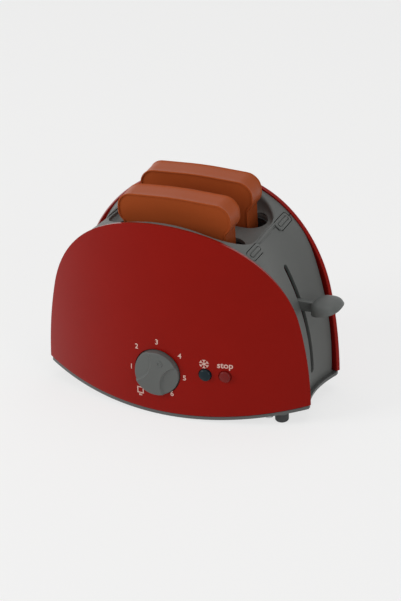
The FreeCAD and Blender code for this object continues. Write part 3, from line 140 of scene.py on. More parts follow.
def settle(piece):
    """Put the object's place into its mesh, so that it sits at the origin."""
    only(piece)
    bpy.ops.object.transform_apply(location=True, rotation=True, scale=True)
    return piece


def copy_node(name, angle=35):
    """A merged copy of a CAD node's mesh, with smooth shading between its edges."""
    piece = nodes[name].copy()
    piece.data = nodes[name].data.copy()
    piece.parent = None
    bpy.context.scene.collection.objects.link(piece)
    for key in list(piece.keys()):
        del piece[key]
    only(piece)
    piece.name = f"{name}_shown"
    bpy.ops.object.mode_set(mode="EDIT")
    bpy.ops.mesh.select_all(action="SELECT")
    bpy.ops.mesh.remove_doubles(threshold=0.01 * MM)
    leave_edit()
    return smooth(piece, angle)


print("helpers ready")

# %% [markdown]
# ## Materials
# A helper turns an sRGB hex value into Blender's linear colour, and another adds a node with its settings and
# links. Moulded plastic is never perfectly even, so each one gets a fine grain or a slow ripple in its bump
# and roughness.


# %% Material helpers
def colour(code):
    """sRGB hex to linear RGBA."""
    channels = [int(code[i:i + 2], 16) / 255 for i in (0, 2, 4)]
    return [c / 12.92 if c <= 0.04045 else ((c + 0.055) / 1.055) ** 2.4 for c in channels] + [1]


def add_node(tree, kind, inputs=None, links=None, **settings):
    """Add a node, set its properties and sockets, and link other nodes' outputs into it."""
    node = tree.nodes.new(kind)
    for key, value in settings.items():
        setattr(node, key, value)
    for key, value in (inputs or {}).items():
        node.inputs[key].default_value = value
    for key, output in (links or {}).items():
        tree.links.new(output, node.inputs[key])
    return node


DRIFT_SIZE, WAVE_SIZE = 25 * MM, 40 * MM


def plastic(name, code, rough, grain_mm, grain_height_mm, spread=0.04, wave_mm=0, shift=0.06, **sockets):
    """Moulded plastic: its colour drifts a little, its roughness varies, and its skin has a fine grain."""
    material = bpy.data.materials.new(name)
    material.use_nodes = True
    tree = material.node_tree
    shader = tree.nodes["Principled BSDF"]
    place = add_node(tree, "ShaderNodeTexCoord").outputs["Object"]
    drift = add_node(tree, "ShaderNodeTexNoise", {"Scale": 1 / DRIFT_SIZE, "Detail": 3}, {"Vector": place})
    tint = colour(code)
    low = [c * (1 - shift) for c in tint[:3]] + [1]
    high = [min(1, c * (1 + shift)) for c in tint[:3]] + [1]
    # sockets 6 and 7 are the mix's two colours, and output 2 the mixed one
    mix = add_node(tree, "ShaderNodeMix", {6: low, 7: high}, {0: drift.outputs["Fac"]}, data_type="RGBA")
    tree.links.new(mix.outputs[2], shader.inputs["Base Color"])
    gloss = add_node(tree, "ShaderNodeMapRange", {"To Min": rough - spread, "To Max": rough + spread},
                     {"Value": drift.outputs["Fac"]})
    tree.links.new(gloss.outputs["Result"], shader.inputs["Roughness"])
    grain = add_node(tree, "ShaderNodeTexNoise", {"Scale": 1 / (grain_mm * MM), "Detail": 2},
                     {"Vector": place})
    bump = add_node(tree, "ShaderNodeBump", {"Strength": 1, "Distance": grain_height_mm * MM},
                    {"Height": grain.outputs["Fac"]})
    if wave_mm:
        slow = add_node(tree, "ShaderNodeTexNoise", {"Scale": 1 / WAVE_SIZE, "Detail": 1}, {"Vector": place})
        bump = add_node(tree, "ShaderNodeBump", {"Strength": 1, "Distance": wave_mm * MM},
                        {"Height": slow.outputs["Fac"], "Normal": bump.outputs["Normal"]})
    tree.links.new(bump.outputs["Normal"], shader.inputs["Normal"])
    for key, value in sockets.items():
        shader.inputs[key.replace("_", " ")].default_value = value
    return material


def steel(name, code, rough, line_mm):
    """Drawn steel: fine lines of uneven polish."""
    material = bpy.data.materials.new(name)
    material.use_nodes = True
    tree = material.node_tree
    shader = tree.nodes["Principled BSDF"]
    shader.inputs["Metallic"].default_value = 1
    shader.inputs["Base Color"].default_value = colour(code)
    place = add_node(tree, "ShaderNodeTexCoord").outputs["Object"]
    lines = add_node(tree, "ShaderNodeTexNoise", {"Scale": 1 / (line_mm * MM), "Detail": 2},
                     {"Vector": place})
    gloss = add_node(tree, "ShaderNodeMapRange", {"To Min": rough - 0.08, "To Max": rough + 0.08},
                     {"Value": lines.outputs["Fac"]})
    tree.links.new(gloss.outputs["Result"], shader.inputs["Roughness"])
    return material


# %% Materials
# Gloss ABS: a mould polished like a mirror, so lamps show as soft-edged shapes; slight waves from cooling.
# What it mirrors face-on is tinted red, and along the rims it stays clear.
red_abs = plastic("gloss_red_abs", "94150F", 0.20, 0.5, 0.002, spread=0.03, wave_mm=0.02,
                  Specular_IOR_Level=0.4, Specular_Tint=colour("E06A5C"))
# Spark-eroded ABS: the fine grain of the mould scatters the light into a satin sheen.
grey_abs = plastic("satin_grey_abs", "686A68", 0.50, 0.35, 0.02, Specular_IOR_Level=0.3)
dark_abs = plastic("satin_base_abs", "5F6160", 0.52, 0.35, 0.02)
handle_abs = plastic("satin_handle_abs", "666967", 0.42, 0.30, 0.010, Specular_IOR_Level=0.3)
# Polypropylene of the slices: a waxy half gloss with a faintly uneven skin.
toast_pp = plastic("toast_brown_polypropylene", "AE5228", 0.36, 1.2, 0.03, shift=0.08,
                   Specular_IOR_Level=0.15, Specular_Tint=colour("E0A070"))
# Rubber: dull, as its rough skin scatters what little it mirrors.
rubber = plastic("foot_rubber", "3A3B3C", 0.70, 0.4, 0.02)
# Black ABS inside: an unpolished mould, dark so that the slots look deep.
black_abs = plastic("black_inner_abs", "2A2B2C", 0.55, 0.5, 0.02)
# Acetal of the sliding parts: smooth and slightly waxy.
white_pom = plastic("white_acetal", "C9C9C4", 0.35, 0.6, 0.005)
# Tinted polystyrene button caps: hard and glossy, so they carry small sharp highlights.
stop_lens = plastic("clear_red_button", "7A1511", 0.15, 0.6, 0.002, Specular_IOR_Level=0.2)
defrost_cap = plastic("teal_button", "08222A", 0.15, 0.6, 0.002, Specular_IOR_Level=0.2)
# Zinc-plated screws are dull and pale, drawn spring wire is darker and smoother.
zinc_steel = steel("zinc_plated_steel", "B9BABC", 0.38, 0.5)
wire_steel = steel("drawn_spring_steel", "A9ABAD", 0.30, 0.3)

FINISH = {
    "red_panel": red_abs, "grey_cover": grey_abs, "dark_base": dark_abs, "grey_handle": handle_abs,
    "brown_toast": toast_pp, "rubber_foot": rubber, "black_frame": black_abs, "white_slider": white_pom,
    "red_button": stop_lens, "blue_button": defrost_cap, "plated_screw": zinc_steel, "steel_rod": wire_steel,
}
slot_of = {part["node"]: part["material_slot"] for part in frame["record"]["subparts"]}


def dress(piece, material):
    piece.data.materials.clear()
    piece.data.materials.append(material)
    return piece


for name, node in nodes.items():
    dress(node, FINISH[slot_of[name]])
print("materials:", len(FINISH))

# %% [markdown]
# ## Light and floor
# One large soft lamp overhead, a broad one from the left front and a weak fill from the right give the panels
# long soft reflections. The floor and the world show white to the camera, to metal and to glass, and light
# everything else as plain grey. The floor keeps a share of its own shading, and with it the shadow.


# %% Light and floor
AIM_POINT = Vector((0, 0, 0.07))


def lamp(name, place, width, height, power):
    """A soft rectangular lamp that faces the toaster, sizes in metres and power in watts."""
    bpy.ops.object.light_add(type="AREA", location=place)
    light = bpy.context.object
    light.name = name
    light.data.shape = "RECTANGLE"
    light.data.size, light.data.size_y = width, height
    light.data.energy = power
    light.rotation_euler = (AIM_POINT - Vector(place)).to_track_quat("-Z", "Y").to_euler()
    return light


lamp("top_softbox", (0.1, 0.1, 1.3), width=1.2, height=1.0, power=4)
lamp("left_softbox", (-1.1, -0.9, 0.7), width=0.7, height=0.9, power=9)
lamp("right_fill", (1.2, -0.7, 0.5), width=0.7, height=0.7, power=3)
WORLD_STRENGTH = 0.25
FLOOR_SIZE, FLOOR_WHITE_SHARE = 8, 0.7


def pale_to_camera(tree, shader_node, share, kind):
    """Let the camera, metal and glass see white there, mixed in by share; the given shader lights the rest."""
    seen = add_node(tree, "ShaderNodeLightPath")
    mirrored = add_node(tree, "ShaderNodeMath", {}, operation="MAXIMUM",
                        links={0: seen.outputs["Is Glossy Ray"], 1: seen.outputs["Is Transmission Ray"]})
    any_of = add_node(tree, "ShaderNodeMath", {}, operation="MAXIMUM",
                      links={0: seen.outputs["Is Camera Ray"], 1: mirrored.outputs[0]})
    amount = add_node(tree, "ShaderNodeMath", {1: share}, {0: any_of.outputs[0]}, operation="MULTIPLY")
    white = add_node(tree, kind, {"Color": (1, 1, 1, 1), "Strength": 1})
    return add_node(tree, "ShaderNodeMixShader", {}, {0: amount.outputs[0], 1: shader_node.outputs[0],
                                                      2: white.outputs[0]})


world = bpy.data.worlds.new("studio")
bpy.context.scene.world = world
world.use_nodes = True
surround = world.node_tree.nodes["Background"]
surround.inputs["Color"].default_value = (1, 1, 1, 1)
surround.inputs["Strength"].default_value = WORLD_STRENGTH
mixed = pale_to_camera(world.node_tree, surround, 1, "ShaderNodeBackground")
world.node_tree.links.new(mixed.outputs[0], world.node_tree.nodes["World Output"].inputs["Surface"])

bpy.ops.object.select_all(action="DESELECT")
bpy.ops.mesh.primitive_plane_add(size=FLOOR_SIZE)
floor = bpy.context.object
floor.name = "floor"
paper = bpy.data.materials.new("white_paper_floor")
paper.use_nodes = True
# Matt coated paper: near white, with no sheen of its own.
paper_shader = paper.node_tree.nodes["Principled BSDF"]
paper_shader.inputs["Base Color"].default_value = colour("F4F4F2")
paper_shader.inputs["Roughness"].default_value = 0.9
mixed = pale_to_camera(paper.node_tree, paper_shader, FLOOR_WHITE_SHARE, "ShaderNodeEmission")
paper.node_tree.links.new(mixed.outputs[0], paper.node_tree.nodes["Material Output"].inputs["Surface"])
dress(floor, paper)
bpy.context.scene.view_settings.view_transform = "Standard"

# %% [markdown]
# ## The shell's form
# Both side panels share one outline: a crown arc, two shoulders and two long side arcs, closed by a bowed
# bottom edge. Seen from above a panel is an arc, and it leans in towards its top. A few functions give that
# form exactly, so that every piece near the panels can follow it.

# %% Form of the dome and the panels
HALF_LENGTH, CORNER_LEVEL, CROWN_RISE = 92.5, 14, 121
CROWN_RADIUS, CROWN_TURN = 112, 15.2
SHOULDER_RADIUS, SHOULDER_TURN = 79.6, 77.8
BELLY, END_HALF, LEAN, BOW = 25, 25, 6, 10.6
PLAN_RADIUS = (HALF_LENGTH ** 2 + BELLY ** 2) / (2 * BELLY)
PLAN_CENTRE = PLAN_RADIUS - END_HALF - BELLY
LEAN_RADIUS = (CROWN_RISE ** 2 + LEAN ** 2) / (2 * LEAN)
BOW_RADIUS = (HALF_LENGTH ** 2 + BOW ** 2) / (2 * BOW)
CROWN_CENTRE = Vector((0, CORNER_LEVEL + CROWN_RISE - CROWN_RADIUS))


def heading(turn):
    """A direction in the XZ plane, turned clockwise from straight up."""
    return Vector((math.sin(math.radians(turn)), math.cos(math.radians(turn))))


SHOULDER_CENTRE = CROWN_CENTRE + heading(CROWN_TURN) * (CROWN_RADIUS - SHOULDER_RADIUS)
meeting = SHOULDER_CENTRE + heading(SHOULDER_TURN) * SHOULDER_RADIUS
chord = Vector((HALF_LENGTH, CORNER_LEVEL)) - meeting
SIDE_RADIUS = -chord.length_squared / (2 * chord.dot(heading(SHOULDER_TURN)))
SIDE_CENTRE = meeting - heading(SHOULDER_TURN) * SIDE_RADIUS
corner_arm = Vector((HALF_LENGTH, CORNER_LEVEL)) - SIDE_CENTRE
END_TURN = math.degrees(math.atan2(corner_arm.x, corner_arm.y))
ARCS = (
    (CROWN_CENTRE, CROWN_RADIUS, 0, CROWN_TURN),
    (SHOULDER_CENTRE, SHOULDER_RADIUS, CROWN_TURN, SHOULDER_TURN),
    (SIDE_CENTRE, SIDE_RADIUS, SHOULDER_TURN, END_TURN),
)
HALF_WAY = sum(radius * math.radians(last - first) for _, radius, first, last in ARCS)


def dome_point(share, inset=0):
    """A point (x, z) of the outline: share runs from -1, the left corner, over the top to 1, the right one."""
    way = abs(share) * HALF_WAY
    for centre, radius, first, last in ARCS:
        run = radius * math.radians(last - first)
        if way <= run or last == END_TURN:
            point = centre + heading(first + math.degrees(way / radius)) * (radius - inset)
            return Vector((math.copysign(point.x, share), point.y))
        way -= run


def bow_level(x):
    return CORNER_LEVEL - BOW + BOW_RADIUS - math.sqrt(BOW_RADIUS ** 2 - x * x)


def panel_face(x, level, inset=0):
    """How far a panel's outer face stands from the middle plane."""
    lean = LEAN_RADIUS - math.sqrt(LEAN_RADIUS ** 2 - (level - CORNER_LEVEL) ** 2)
    return math.sqrt((PLAN_RADIUS - inset - lean) ** 2 - x * x) - PLAN_CENTRE


def net(name, columns, rows, place, closed=False):
    """A sheet of quads made from a grid: place(u, v) puts each vertex, with u and v from 0 to 1."""
    bpy.ops.object.select_all(action="DESELECT")
    bpy.ops.mesh.primitive_grid_add(x_subdivisions=columns, y_subdivisions=rows, size=2)
    sheet = bpy.context.object
    sheet.name = name
    for vertex in sheet.data.vertices:
        u, v = (round((vertex.co.x + 1) / 2 * columns) / columns, round((vertex.co.y + 1) / 2 * rows) / rows)
        vertex.co = place(u, v) * MM
    choose(sheet, "VERT", lambda vertex: True)
    if closed:
        bpy.ops.mesh.remove_doubles(threshold=0.002 * MM)
        bpy.ops.mesh.normals_make_consistent(inside=False)
    leave_edit()
    return sheet


def flip(piece):
    choose(piece, "FACE", lambda face: True)
    bpy.ops.mesh.flip_normals()
    leave_edit()
    return piece


def carve(piece, tool, operation="DIFFERENCE"):
    """Cut a tool's shape out of a piece, or join the two, and remove the tool."""
    bake(piece, "BOOLEAN", operation=operation, object=tool, solver="EXACT")
    bpy.data.objects.remove(tool)
    return piece


def soften(piece, width, angle=35, segments=2):
    return bake(piece, "BEVEL", width=width * MM, segments=segments, limit_method="ANGLE",
                angle_limit=math.radians(angle))


def finish(piece, material, slot, body, *replaced, angle=35):
    """Smooth a piece, give it its material, and put it on its body in place of CAD nodes; the slot is not used.
    """
    smooth(piece, angle)
    dress(piece, material)
    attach(piece, body)
    if replaced:
        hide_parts(*replaced)
    print(piece.name, len(piece.data.polygons), "faces")
    return piece


def join(first, *others):
    bpy.ops.object.select_all(action="DESELECT")
    for piece in (first, *others):
        piece.select_set(True)
    bpy.context.view_layer.objects.active = first
    bpy.ops.object.join()
    return first


print("side arc radius", round(SIDE_RADIUS, 1), "outline half length", round(HALF_WAY, 1))

# %% [markdown]
# ## Side panels
# Each panel is one thin moulding with a soft rim. Gloss shows every unevenness of a mesh, so the panel starts
# as an even grid that is stretched to the outline, like a net pulled to a frame, and then laid on the curved
# form. Solidify gives it its wall, and Bevel rounds the rim.

# %% Side panels
TOP_SHARE = 0.52
PANEL_WALL, PANEL_RIM = 2.5, 1.0
PANEL_COLUMNS, PANEL_ROWS = 124, 60
DIAL_X, DIAL_LEVEL = -4.2, 32
STOP_X, DEFROST_X, BUTTON_LEVEL = 41.4, 28.5, 35.1
KNOB_RADIUS, STOP_RADIUS, DEFROST_RADIUS = 15.5, 4, 4.2
KNOB_GAP, BUTTON_GAP = 0.6, 0.25
DRILL_START, DRILL_LENGTH = 45, 20


def panel_net(u, v):
    """A point (x, z) of the panel's net: u from left to right, v from the bottom edge to the top."""
    def bottom(w):
        return Vector(((2 * w - 1) * HALF_LENGTH, bow_level((2 * w - 1) * HALF_LENGTH)))

    def top(w):
        return dome_point(TOP_SHARE * (2 * w - 1))

    left, right = dome_point(-1 + (1 - TOP_SHARE) * v), dome_point(1 - (1 - TOP_SHARE) * v)
    corners = (bottom(0) * (1 - u) + bottom(1) * u) * (1 - v) + (top(0) * (1 - u) + top(1) * u) * v
    edges = bottom(u) * (1 - v) + top(u) * v + left * (1 - u) + right * u
    return edges - corners


def side_panel(name, side):
    """side is -1 for the front and 1 for the back."""
    def place(u, v):
        spot = panel_net(u, v)
        return Vector((spot.x, panel_face(spot.x, spot.y) * side, spot.y))

    panel = net(name, PANEL_COLUMNS, PANEL_ROWS, place)
    if side > 0:
        flip(panel)
    bake(panel, "SOLIDIFY", thickness=PANEL_WALL * MM, offset=-1)
    return soften(panel, PANEL_RIM, angle=40, segments=4)


def drill(piece, x, level, radius):
    """Cut a round hole through the front panel."""
    bpy.ops.mesh.primitive_cylinder_add(vertices=128, radius=radius * MM, depth=DRILL_LENGTH * MM,
                                        location=(x * MM, -DRILL_START * MM, level * MM),
                                        rotation=(math.pi / 2, 0, 0))
    return carve(piece, bpy.context.object)


front_panel = side_panel("front_panel_shown", -1)
drill(front_panel, DIAL_X, DIAL_LEVEL, KNOB_RADIUS + KNOB_GAP)
drill(front_panel, STOP_X, BUTTON_LEVEL, STOP_RADIUS + BUTTON_GAP)
drill(front_panel, DEFROST_X, BUTTON_LEVEL, DEFROST_RADIUS + BUTTON_GAP)
back_panel = side_panel("back_panel_shown", 1)
finish(front_panel, red_abs, "red_panel", "housing", "front_panel", angle=30)
finish(back_panel, red_abs, "red_panel", "housing", "back_panel", angle=30)

# %% [markdown]
# ## Grey covers
# The covers follow the dome between the panels, and each end is hollowed by a ring-shaped surface. The two
# surfaces run softly into each other. The roof is a net whose rows climb the well's dished wall, turn over its
# rounded rim and spread out to the cover's edges; the ends are plain nets. Holes are cut while a net is still
# a thin sheet, and Solidify gives it its wall afterwards.

# %% Form of the covers
COVER_INSET, COVER_SIDE, COVER_WALL = 1.5, 2.8, 2.2
RING_X, RING_LEVEL, RING_REACH, RING_TUBE = -74.6, 24, 214, 56
SEAM_X, SEAM_GAP = 55, 0.3
WELL_HALF, WELL_SIDE, WELL_CORNER, WELL_FLOOR = 51, 35, 26, 116
SLOT_HALF, SLOT_RADIUS, SLOT_MIDDLE = 45, 11.2, 18.6
SLOT_CUT = (105, 140)
DISH = 5
MELT = 7


def cover_share(x):
    """The outline's share at which the cover's roof is at this distance from the middle."""
    crown, shoulder = CROWN_RADIUS - COVER_INSET, SHOULDER_RADIUS - COVER_INSET
    if abs(x) < crown * heading(CROWN_TURN).x:
        way = CROWN_RADIUS * math.asin(abs(x) / crown)
    else:
        turn = math.asin((abs(x) - SHOULDER_CENTRE.x) / shoulder)
        first = math.radians(CROWN_TURN)
        way = CROWN_RADIUS * first + SHOULDER_RADIUS * (turn - first)
    return math.copysign(way / HALF_WAY, x)


def cover_point(share, y):
    """A point of the covers' outer surface: the dome, melted into the ring that hollows each end."""
    dome = dome_point(share, COVER_INSET)
    reach = RING_REACH - math.sqrt(RING_TUBE ** 2 - y * y)
    hollow = RING_X + math.sqrt(max(reach ** 2 - (dome.y - RING_LEVEL) ** 2, 0))
    near = max(MELT - abs(abs(dome.x) - hollow), 0)
    x = min(abs(dome.x), hollow) - near ** 2 / (4 * MELT)
    return Vector((math.copysign(x, share), y, dome.y))


def cover_side(share):
    """Half the cover's width there."""
    dome = dome_point(share, COVER_INSET)
    return panel_face(dome.x, dome.y) - COVER_SIDE


def rounded_rectangle(half_x, half_y, corner, count):
    """Evenly spaced points of a rounded rectangle, each with its outward normal."""
    flat_x, flat_y, quarter = half_x - corner, half_y - corner, corner * math.pi / 2
    runs = ((flat_x, flat_y, 0, 2 * flat_x), (-flat_x, flat_y, 90, 2 * flat_y),
            (-flat_x, -flat_y, 180, 2 * flat_x), (flat_x, -flat_y, 270, 2 * flat_y))
    total = 4 * quarter + 4 * (flat_x + flat_y)
    for number in range(count):
        way = total * number / count
        for x, y, start, run in runs:
            if way < quarter:
                turn = math.radians(start) + way / corner
                normal = Vector((math.cos(turn), math.sin(turn)))
                yield Vector((x, y)) + normal * corner, normal
                break
            way -= quarter
            if way < run:
                turn = math.radians(start + 90)
                normal = Vector((math.cos(turn), math.sin(turn)))
                yield Vector((x, y)) + normal * corner + Vector((-normal.y, normal.x)) * way, normal
                break
            way -= run


def cut_toast_slots(piece):
    """Cut the two long round-ended slots: each cutter is a cylinder, pulled apart along X."""
    low, high = SLOT_CUT
    for side in (-1, 1):
        bpy.ops.object.select_all(action="DESELECT")
        bpy.ops.mesh.primitive_cylinder_add(vertices=96, radius=SLOT_RADIUS * MM, depth=(high - low) * MM,
                                            location=(0, 0, (low + high) / 2 * MM))
        tool = settle(bpy.context.object)
        for vertex in tool.data.vertices:
            vertex.co.x += math.copysign(SLOT_HALF - SLOT_RADIUS, vertex.co.x) * MM
            vertex.co.y += SLOT_MIDDLE * side * MM
        carve(piece, tool)


# %% Top cover
RIM = 2.6
WELL_COLUMNS, WALL_ROWS, RIM_ROWS, ROOF_ROWS = 320, 9, 6, 9
WELL_ROWS = WALL_ROWS + RIM_ROWS + ROOF_ROWS
WELL_FOOT = WELL_FLOOR - 0.3
roof_end = SEAM_X - SEAM_GAP / 2
well_outline = list(rounded_rectangle(WELL_HALF, WELL_SIDE, WELL_CORNER, WELL_COLUMNS))


def roof(spot):
    return cover_point(cover_share(spot.x), spot.y)


def roof_room(spot, normal):
    """How far the roof goes on from a point of the well's outline."""
    low, high = 0, 60
    for _ in range(30):
        middle = (low + high) / 2
        there = spot + normal * middle
        inside = abs(there.x) < roof_end and abs(there.y) < cover_side(cover_share(there.x))
        low, high = (middle, high) if inside else (low, middle)
    return low


edge_points = [spot + normal * roof_room(spot, normal) for spot, normal in well_outline]
for turn_x, turn_y in ((1, 1), (-1, 1), (-1, -1), (1, -1)):
    corner = Vector((roof_end * turn_x, cover_side(cover_share(roof_end)) * turn_y))
    nearest = min(range(WELL_COLUMNS), key=lambda number: (edge_points[number] - corner).length)
    edge_points[nearest] = corner


def roof_place(u, v):
    """A point of the top cover: v runs from the well's foot up its wall, over the rim and out to the edge."""
    number = round(u * WELL_COLUMNS) % WELL_COLUMNS
    spot, normal = well_outline[number]
    row = round(v * WELL_ROWS)
    depth = roof(spot).z - WELL_FLOOR
    rim = min(RIM, depth * 0.5)
    if row <= WALL_ROWS:
        turn = math.pi / 2 * row / WALL_ROWS
        inner = spot - normal * DISH * (1 - math.sin(turn))
        top = roof(spot).z - rim
        return Vector((inner.x, inner.y, WELL_FOOT + (top - WELL_FOOT) * (1 - math.cos(turn))))
    if row <= WALL_ROWS + RIM_ROWS:
        turn = math.pi / 2 * (row - WALL_ROWS) / RIM_ROWS
        drop = Vector((0, 0, rim * (1 - math.sin(turn))))
        return roof(spot + normal * rim * (1 - math.cos(turn))) - drop
    start = spot + normal * rim
    return roof(start.lerp(edge_points[number], (row - WALL_ROWS - RIM_ROWS) / ROOF_ROWS))


def end_place(u, v, start_x, side):
    """An end of the covers: v runs from the roof down to the foot, u across."""
    start = abs(cover_share(start_x))
    across = 2 * u - 1
    foot = 1 + (CORNER_LEVEL - bow_level(80)) / HALF_WAY
    share = start + (foot - start) * v
    return cover_point(share * side, across * cover_side(share))


def face_up(sheet):
    """Turn an open sheet so that its faces look up and outwards."""
    if sum(face.normal.z * face.area for face in sheet.data.polygons) < 0:
        flip(sheet)
    return sheet


top_cover = net("top_cover_shown", WELL_COLUMNS, WELL_ROWS, roof_place)
choose(top_cover, "VERT", lambda vertex: True)
bpy.ops.mesh.remove_doubles(threshold=0.01 * MM)
leave_edit()
face_up(top_cover)
# the left end reaches a little way under the roof, just below it, so that no gap can open between them
END_COLUMNS, END_ROWS = 80, 100
UNDERLAP, UNDERLAP_SHIFT = 1.5, Vector((0.03, 0, -0.04))
left_end = net("left_end", END_COLUMNS, END_ROWS,
               lambda u, v: end_place(u, v, UNDERLAP - roof_end, -1) + UNDERLAP_SHIFT)
face_up(left_end)
cut_toast_slots(top_cover)

# %% End cover with the lever's slot
LEVER_SLOT_LOW, LEVER_SLOT_HIGH, LEVER_SLOT_SIDE = 25.5, 96.1, 2.3
LEVER_CUT_X, LEVER_CUT_LENGTH = 80, 60
END_COVER_COLUMNS, END_COVER_ROWS = 90, 110
end_cover = net("end_cover_shown", END_COVER_COLUMNS, END_COVER_ROWS,
                lambda u, v: end_place(u, v, SEAM_X + SEAM_GAP / 2, 1))
face_up(end_cover)
# the cutter is a cylinder along X, whose upper and lower halves are moved apart
bpy.ops.mesh.primitive_cylinder_add(vertices=48, radius=LEVER_SLOT_SIDE * MM, depth=LEVER_CUT_LENGTH * MM,
                                    location=(LEVER_CUT_X * MM, 0, 0), rotation=(0, math.pi / 2, 0))
slot_tool = settle(bpy.context.object)
for vertex in slot_tool.data.vertices:
    vertex.co.z += (LEVER_SLOT_HIGH if vertex.co.z > 0 else LEVER_SLOT_LOW) * MM
carve(end_cover, slot_tool)

# %% [markdown]
# ## Clips
# Two tongues bridge the seam between the covers. Each lies in a pocket of its own, and carries a raised key.

# %% Clips across the seam
CLIP_MIDDLE, CLIP_WIDTH, CLIP_LENGTH, CLIP_CORNER = 23, 7.2, 18, 2.4
CLIP_GAP, CLIP_WALL, POCKET_CORNER, POCKET_TOP = 0.45, 1.2, 2.7, 2
KEY_WIDTH, KEY_LENGTH, KEY_CORNER, KEY_FOOT, KEY_TOP = 2.2, 13, 0.8, -0.5, 0.25
GROOVE_WIDTH, GROOVE_LENGTH, GROOVE_CORNER, GROOVE_FLOOR, GROOVE_TOP = 3.4, 14.2, 1.3, -0.7, 1
COVER_EDGE = 0.2
seam_spot = cover_point(cover_share(SEAM_X), CLIP_MIDDLE)
seam_slope = math.asin((SEAM_X - SHOULDER_CENTRE.x) / (SHOULDER_RADIUS - COVER_INSET))


def on_seam(name, side, width, length, corner, low, high):
    """A rounded block on the seam, square to the roof, between two heights over its surface."""
    count = 48
    outline = list(rounded_rectangle(width / 2, length / 2, corner, count))
    origin = Vector((seam_spot.x, CLIP_MIDDLE * side, seam_spot.z))
    along = Vector((math.cos(seam_slope), 0, -math.sin(seam_slope)))
    outward = Vector((math.sin(seam_slope), 0, math.cos(seam_slope)))

    def place(u, v):
        spot, _ = outline[round(u * count) % count]
        sink = spot.x ** 2 / (2 * (SHOULDER_RADIUS - COVER_INSET))
        rise = low + (high - low) * v - sink
        return origin + along * spot.x + Vector((0, spot.y, 0)) + outward * rise

    block = net(name, count, 1, place, closed=True)
    choose(block, "EDGE", lambda edge: edge.is_boundary)
    bpy.ops.mesh.fill_holes(sides=0)
    bpy.ops.mesh.select_all(action="SELECT")
    bpy.ops.mesh.normals_make_consistent(inside=False)
    leave_edit()
    return block


for side, word in ((-1, "front"), (1, "back")):
    for cover in (top_cover, end_cover):
        carve(cover, on_seam("clip_pocket", side, CLIP_WIDTH + 2 * CLIP_GAP, CLIP_LENGTH + 2 * CLIP_GAP,
                             POCKET_CORNER, -CLIP_WALL, POCKET_TOP))
    clip = on_seam(f"{word}_clip_shown", side, CLIP_WIDTH, CLIP_LENGTH, CLIP_CORNER, -CLIP_WALL, 0)
    key = on_seam("clip_key", side, KEY_WIDTH, KEY_LENGTH, KEY_CORNER, KEY_FOOT, KEY_TOP)
    soften(clip, 0.3)
    soften(key, 0.25)
    carve(clip, on_seam("key_groove", side, GROOVE_WIDTH, GROOVE_LENGTH, GROOVE_CORNER, GROOVE_FLOOR,
                        GROOVE_TOP))
    join(clip, key)
    finish(clip, grey_abs, "grey_cover", "housing", f"{word}_clip")
join(top_cover, left_end)
for cover in (top_cover, end_cover):
    bake(cover, "SOLIDIFY", thickness=COVER_WALL * MM, offset=-1)
    soften(cover, COVER_EDGE, angle=50)
finish(top_cover, grey_abs, "grey_cover", "housing", "top_cover", angle=32)
finish(end_cover, grey_abs, "grey_cover", "housing", "end_cover", angle=32)

# %% [markdown]
# ## Toast slices
# A slice is a plate with a thin raised bead round each face. Its outline is a path with rounded corners, and
# each row of the net lies further round the edge: from the sunken face over the bead, across the crust and
# over the other bead. The slices stand a little askew in their slots.


# %% Rounded paths
CORNER_STEPS = 16


def rounded_path(corners, count):
    """Points spread evenly round a closed path, given as corners (x, z, radius) in order."""
    points = []
    for number, (x, z, radius) in enumerate(corners):
        here = Vector((x, z))
        before = (Vector(corners[number - 1][:2]) - here).normalized()
        after = (Vector(corners[(number + 1) % len(corners)][:2]) - here).normalized()
        half = before.angle(after) / 2
        centre = here + (before + after).normalized() * (radius / math.sin(half))
        start, end = here + before * (radius / math.tan(half)), here + after * (radius / math.tan(half))
        arm, sweep = start - centre, (start - centre).angle_signed(end - centre)
        for step in range(CORNER_STEPS + 1):
            turn = -sweep * step / CORNER_STEPS
            points.append(centre + Vector((arm.x * math.cos(turn) - arm.y * math.sin(turn),
                                           arm.x * math.sin(turn) + arm.y * math.cos(turn))))
    runs = [(points[(i + 1) % len(points)] - points[i]).length for i in range(len(points))]
    total, spread, place, passed = sum(runs), [], 0, 0
    for number in range(count):
        goal = total * number / count
        while passed + runs[place] < goal:
            passed += runs[place]
            place += 1
        share = (goal - passed) / max(runs[place], 1e-9)
        spread.append(points[place].lerp(points[(place + 1) % len(points)], share))
    return spread


def path_normals(path):
    """Outward normals of a clockwise path."""
    arms = [path[(i + 1) % len(path)] - path[i - 1] for i in range(len(path))]
    return [Vector((-arm.y, arm.x)).normalized() for arm in arms]


# %% Toast slices
# (distance from the middle, level, corner radius), from the head's corner down to the foot
SLICE_SIDE = ((39.2, 144.9, 10), (39.2, 128.7, 9), (35.2, 125.4, 3.5), (35.2, 65.3, 6))
SLICE_TOP = (0, 146.8, 240)
slice_corners = [SLICE_TOP, *SLICE_SIDE, *[(-x, z, r) for x, z, r in reversed(SLICE_SIDE)]]
SLICE_COLUMNS = 360
slice_path = rounded_path(slice_corners, SLICE_COLUMNS)
slice_normals = path_normals(slice_path)
SLICE_X, SLICE_Y = -0.4, 18
LEAN_LEVEL, SLICE_LEAN = 134.9, math.radians(1.9)
# (distance inside the outline, distance from the middle plane), from the sunken face to the middle
CRUST = ((2.6, 7.3), (1.2, 7.3), (0.95, 7.38), (0.8, 7.75), (0.6, 8.02), (0.3, 8.1), (0, 8.0),
         (-0.2, 7.75), (-0.25, 7.4), (-0.15, 7.05), (0, 6.85), (0.04, 6.6), (0.04, 3.4), (0.04, 0))
slice_profile = [(inset, -depth) for inset, depth in CRUST]
slice_profile += [(inset, depth) for inset, depth in reversed(CRUST[:-1])]


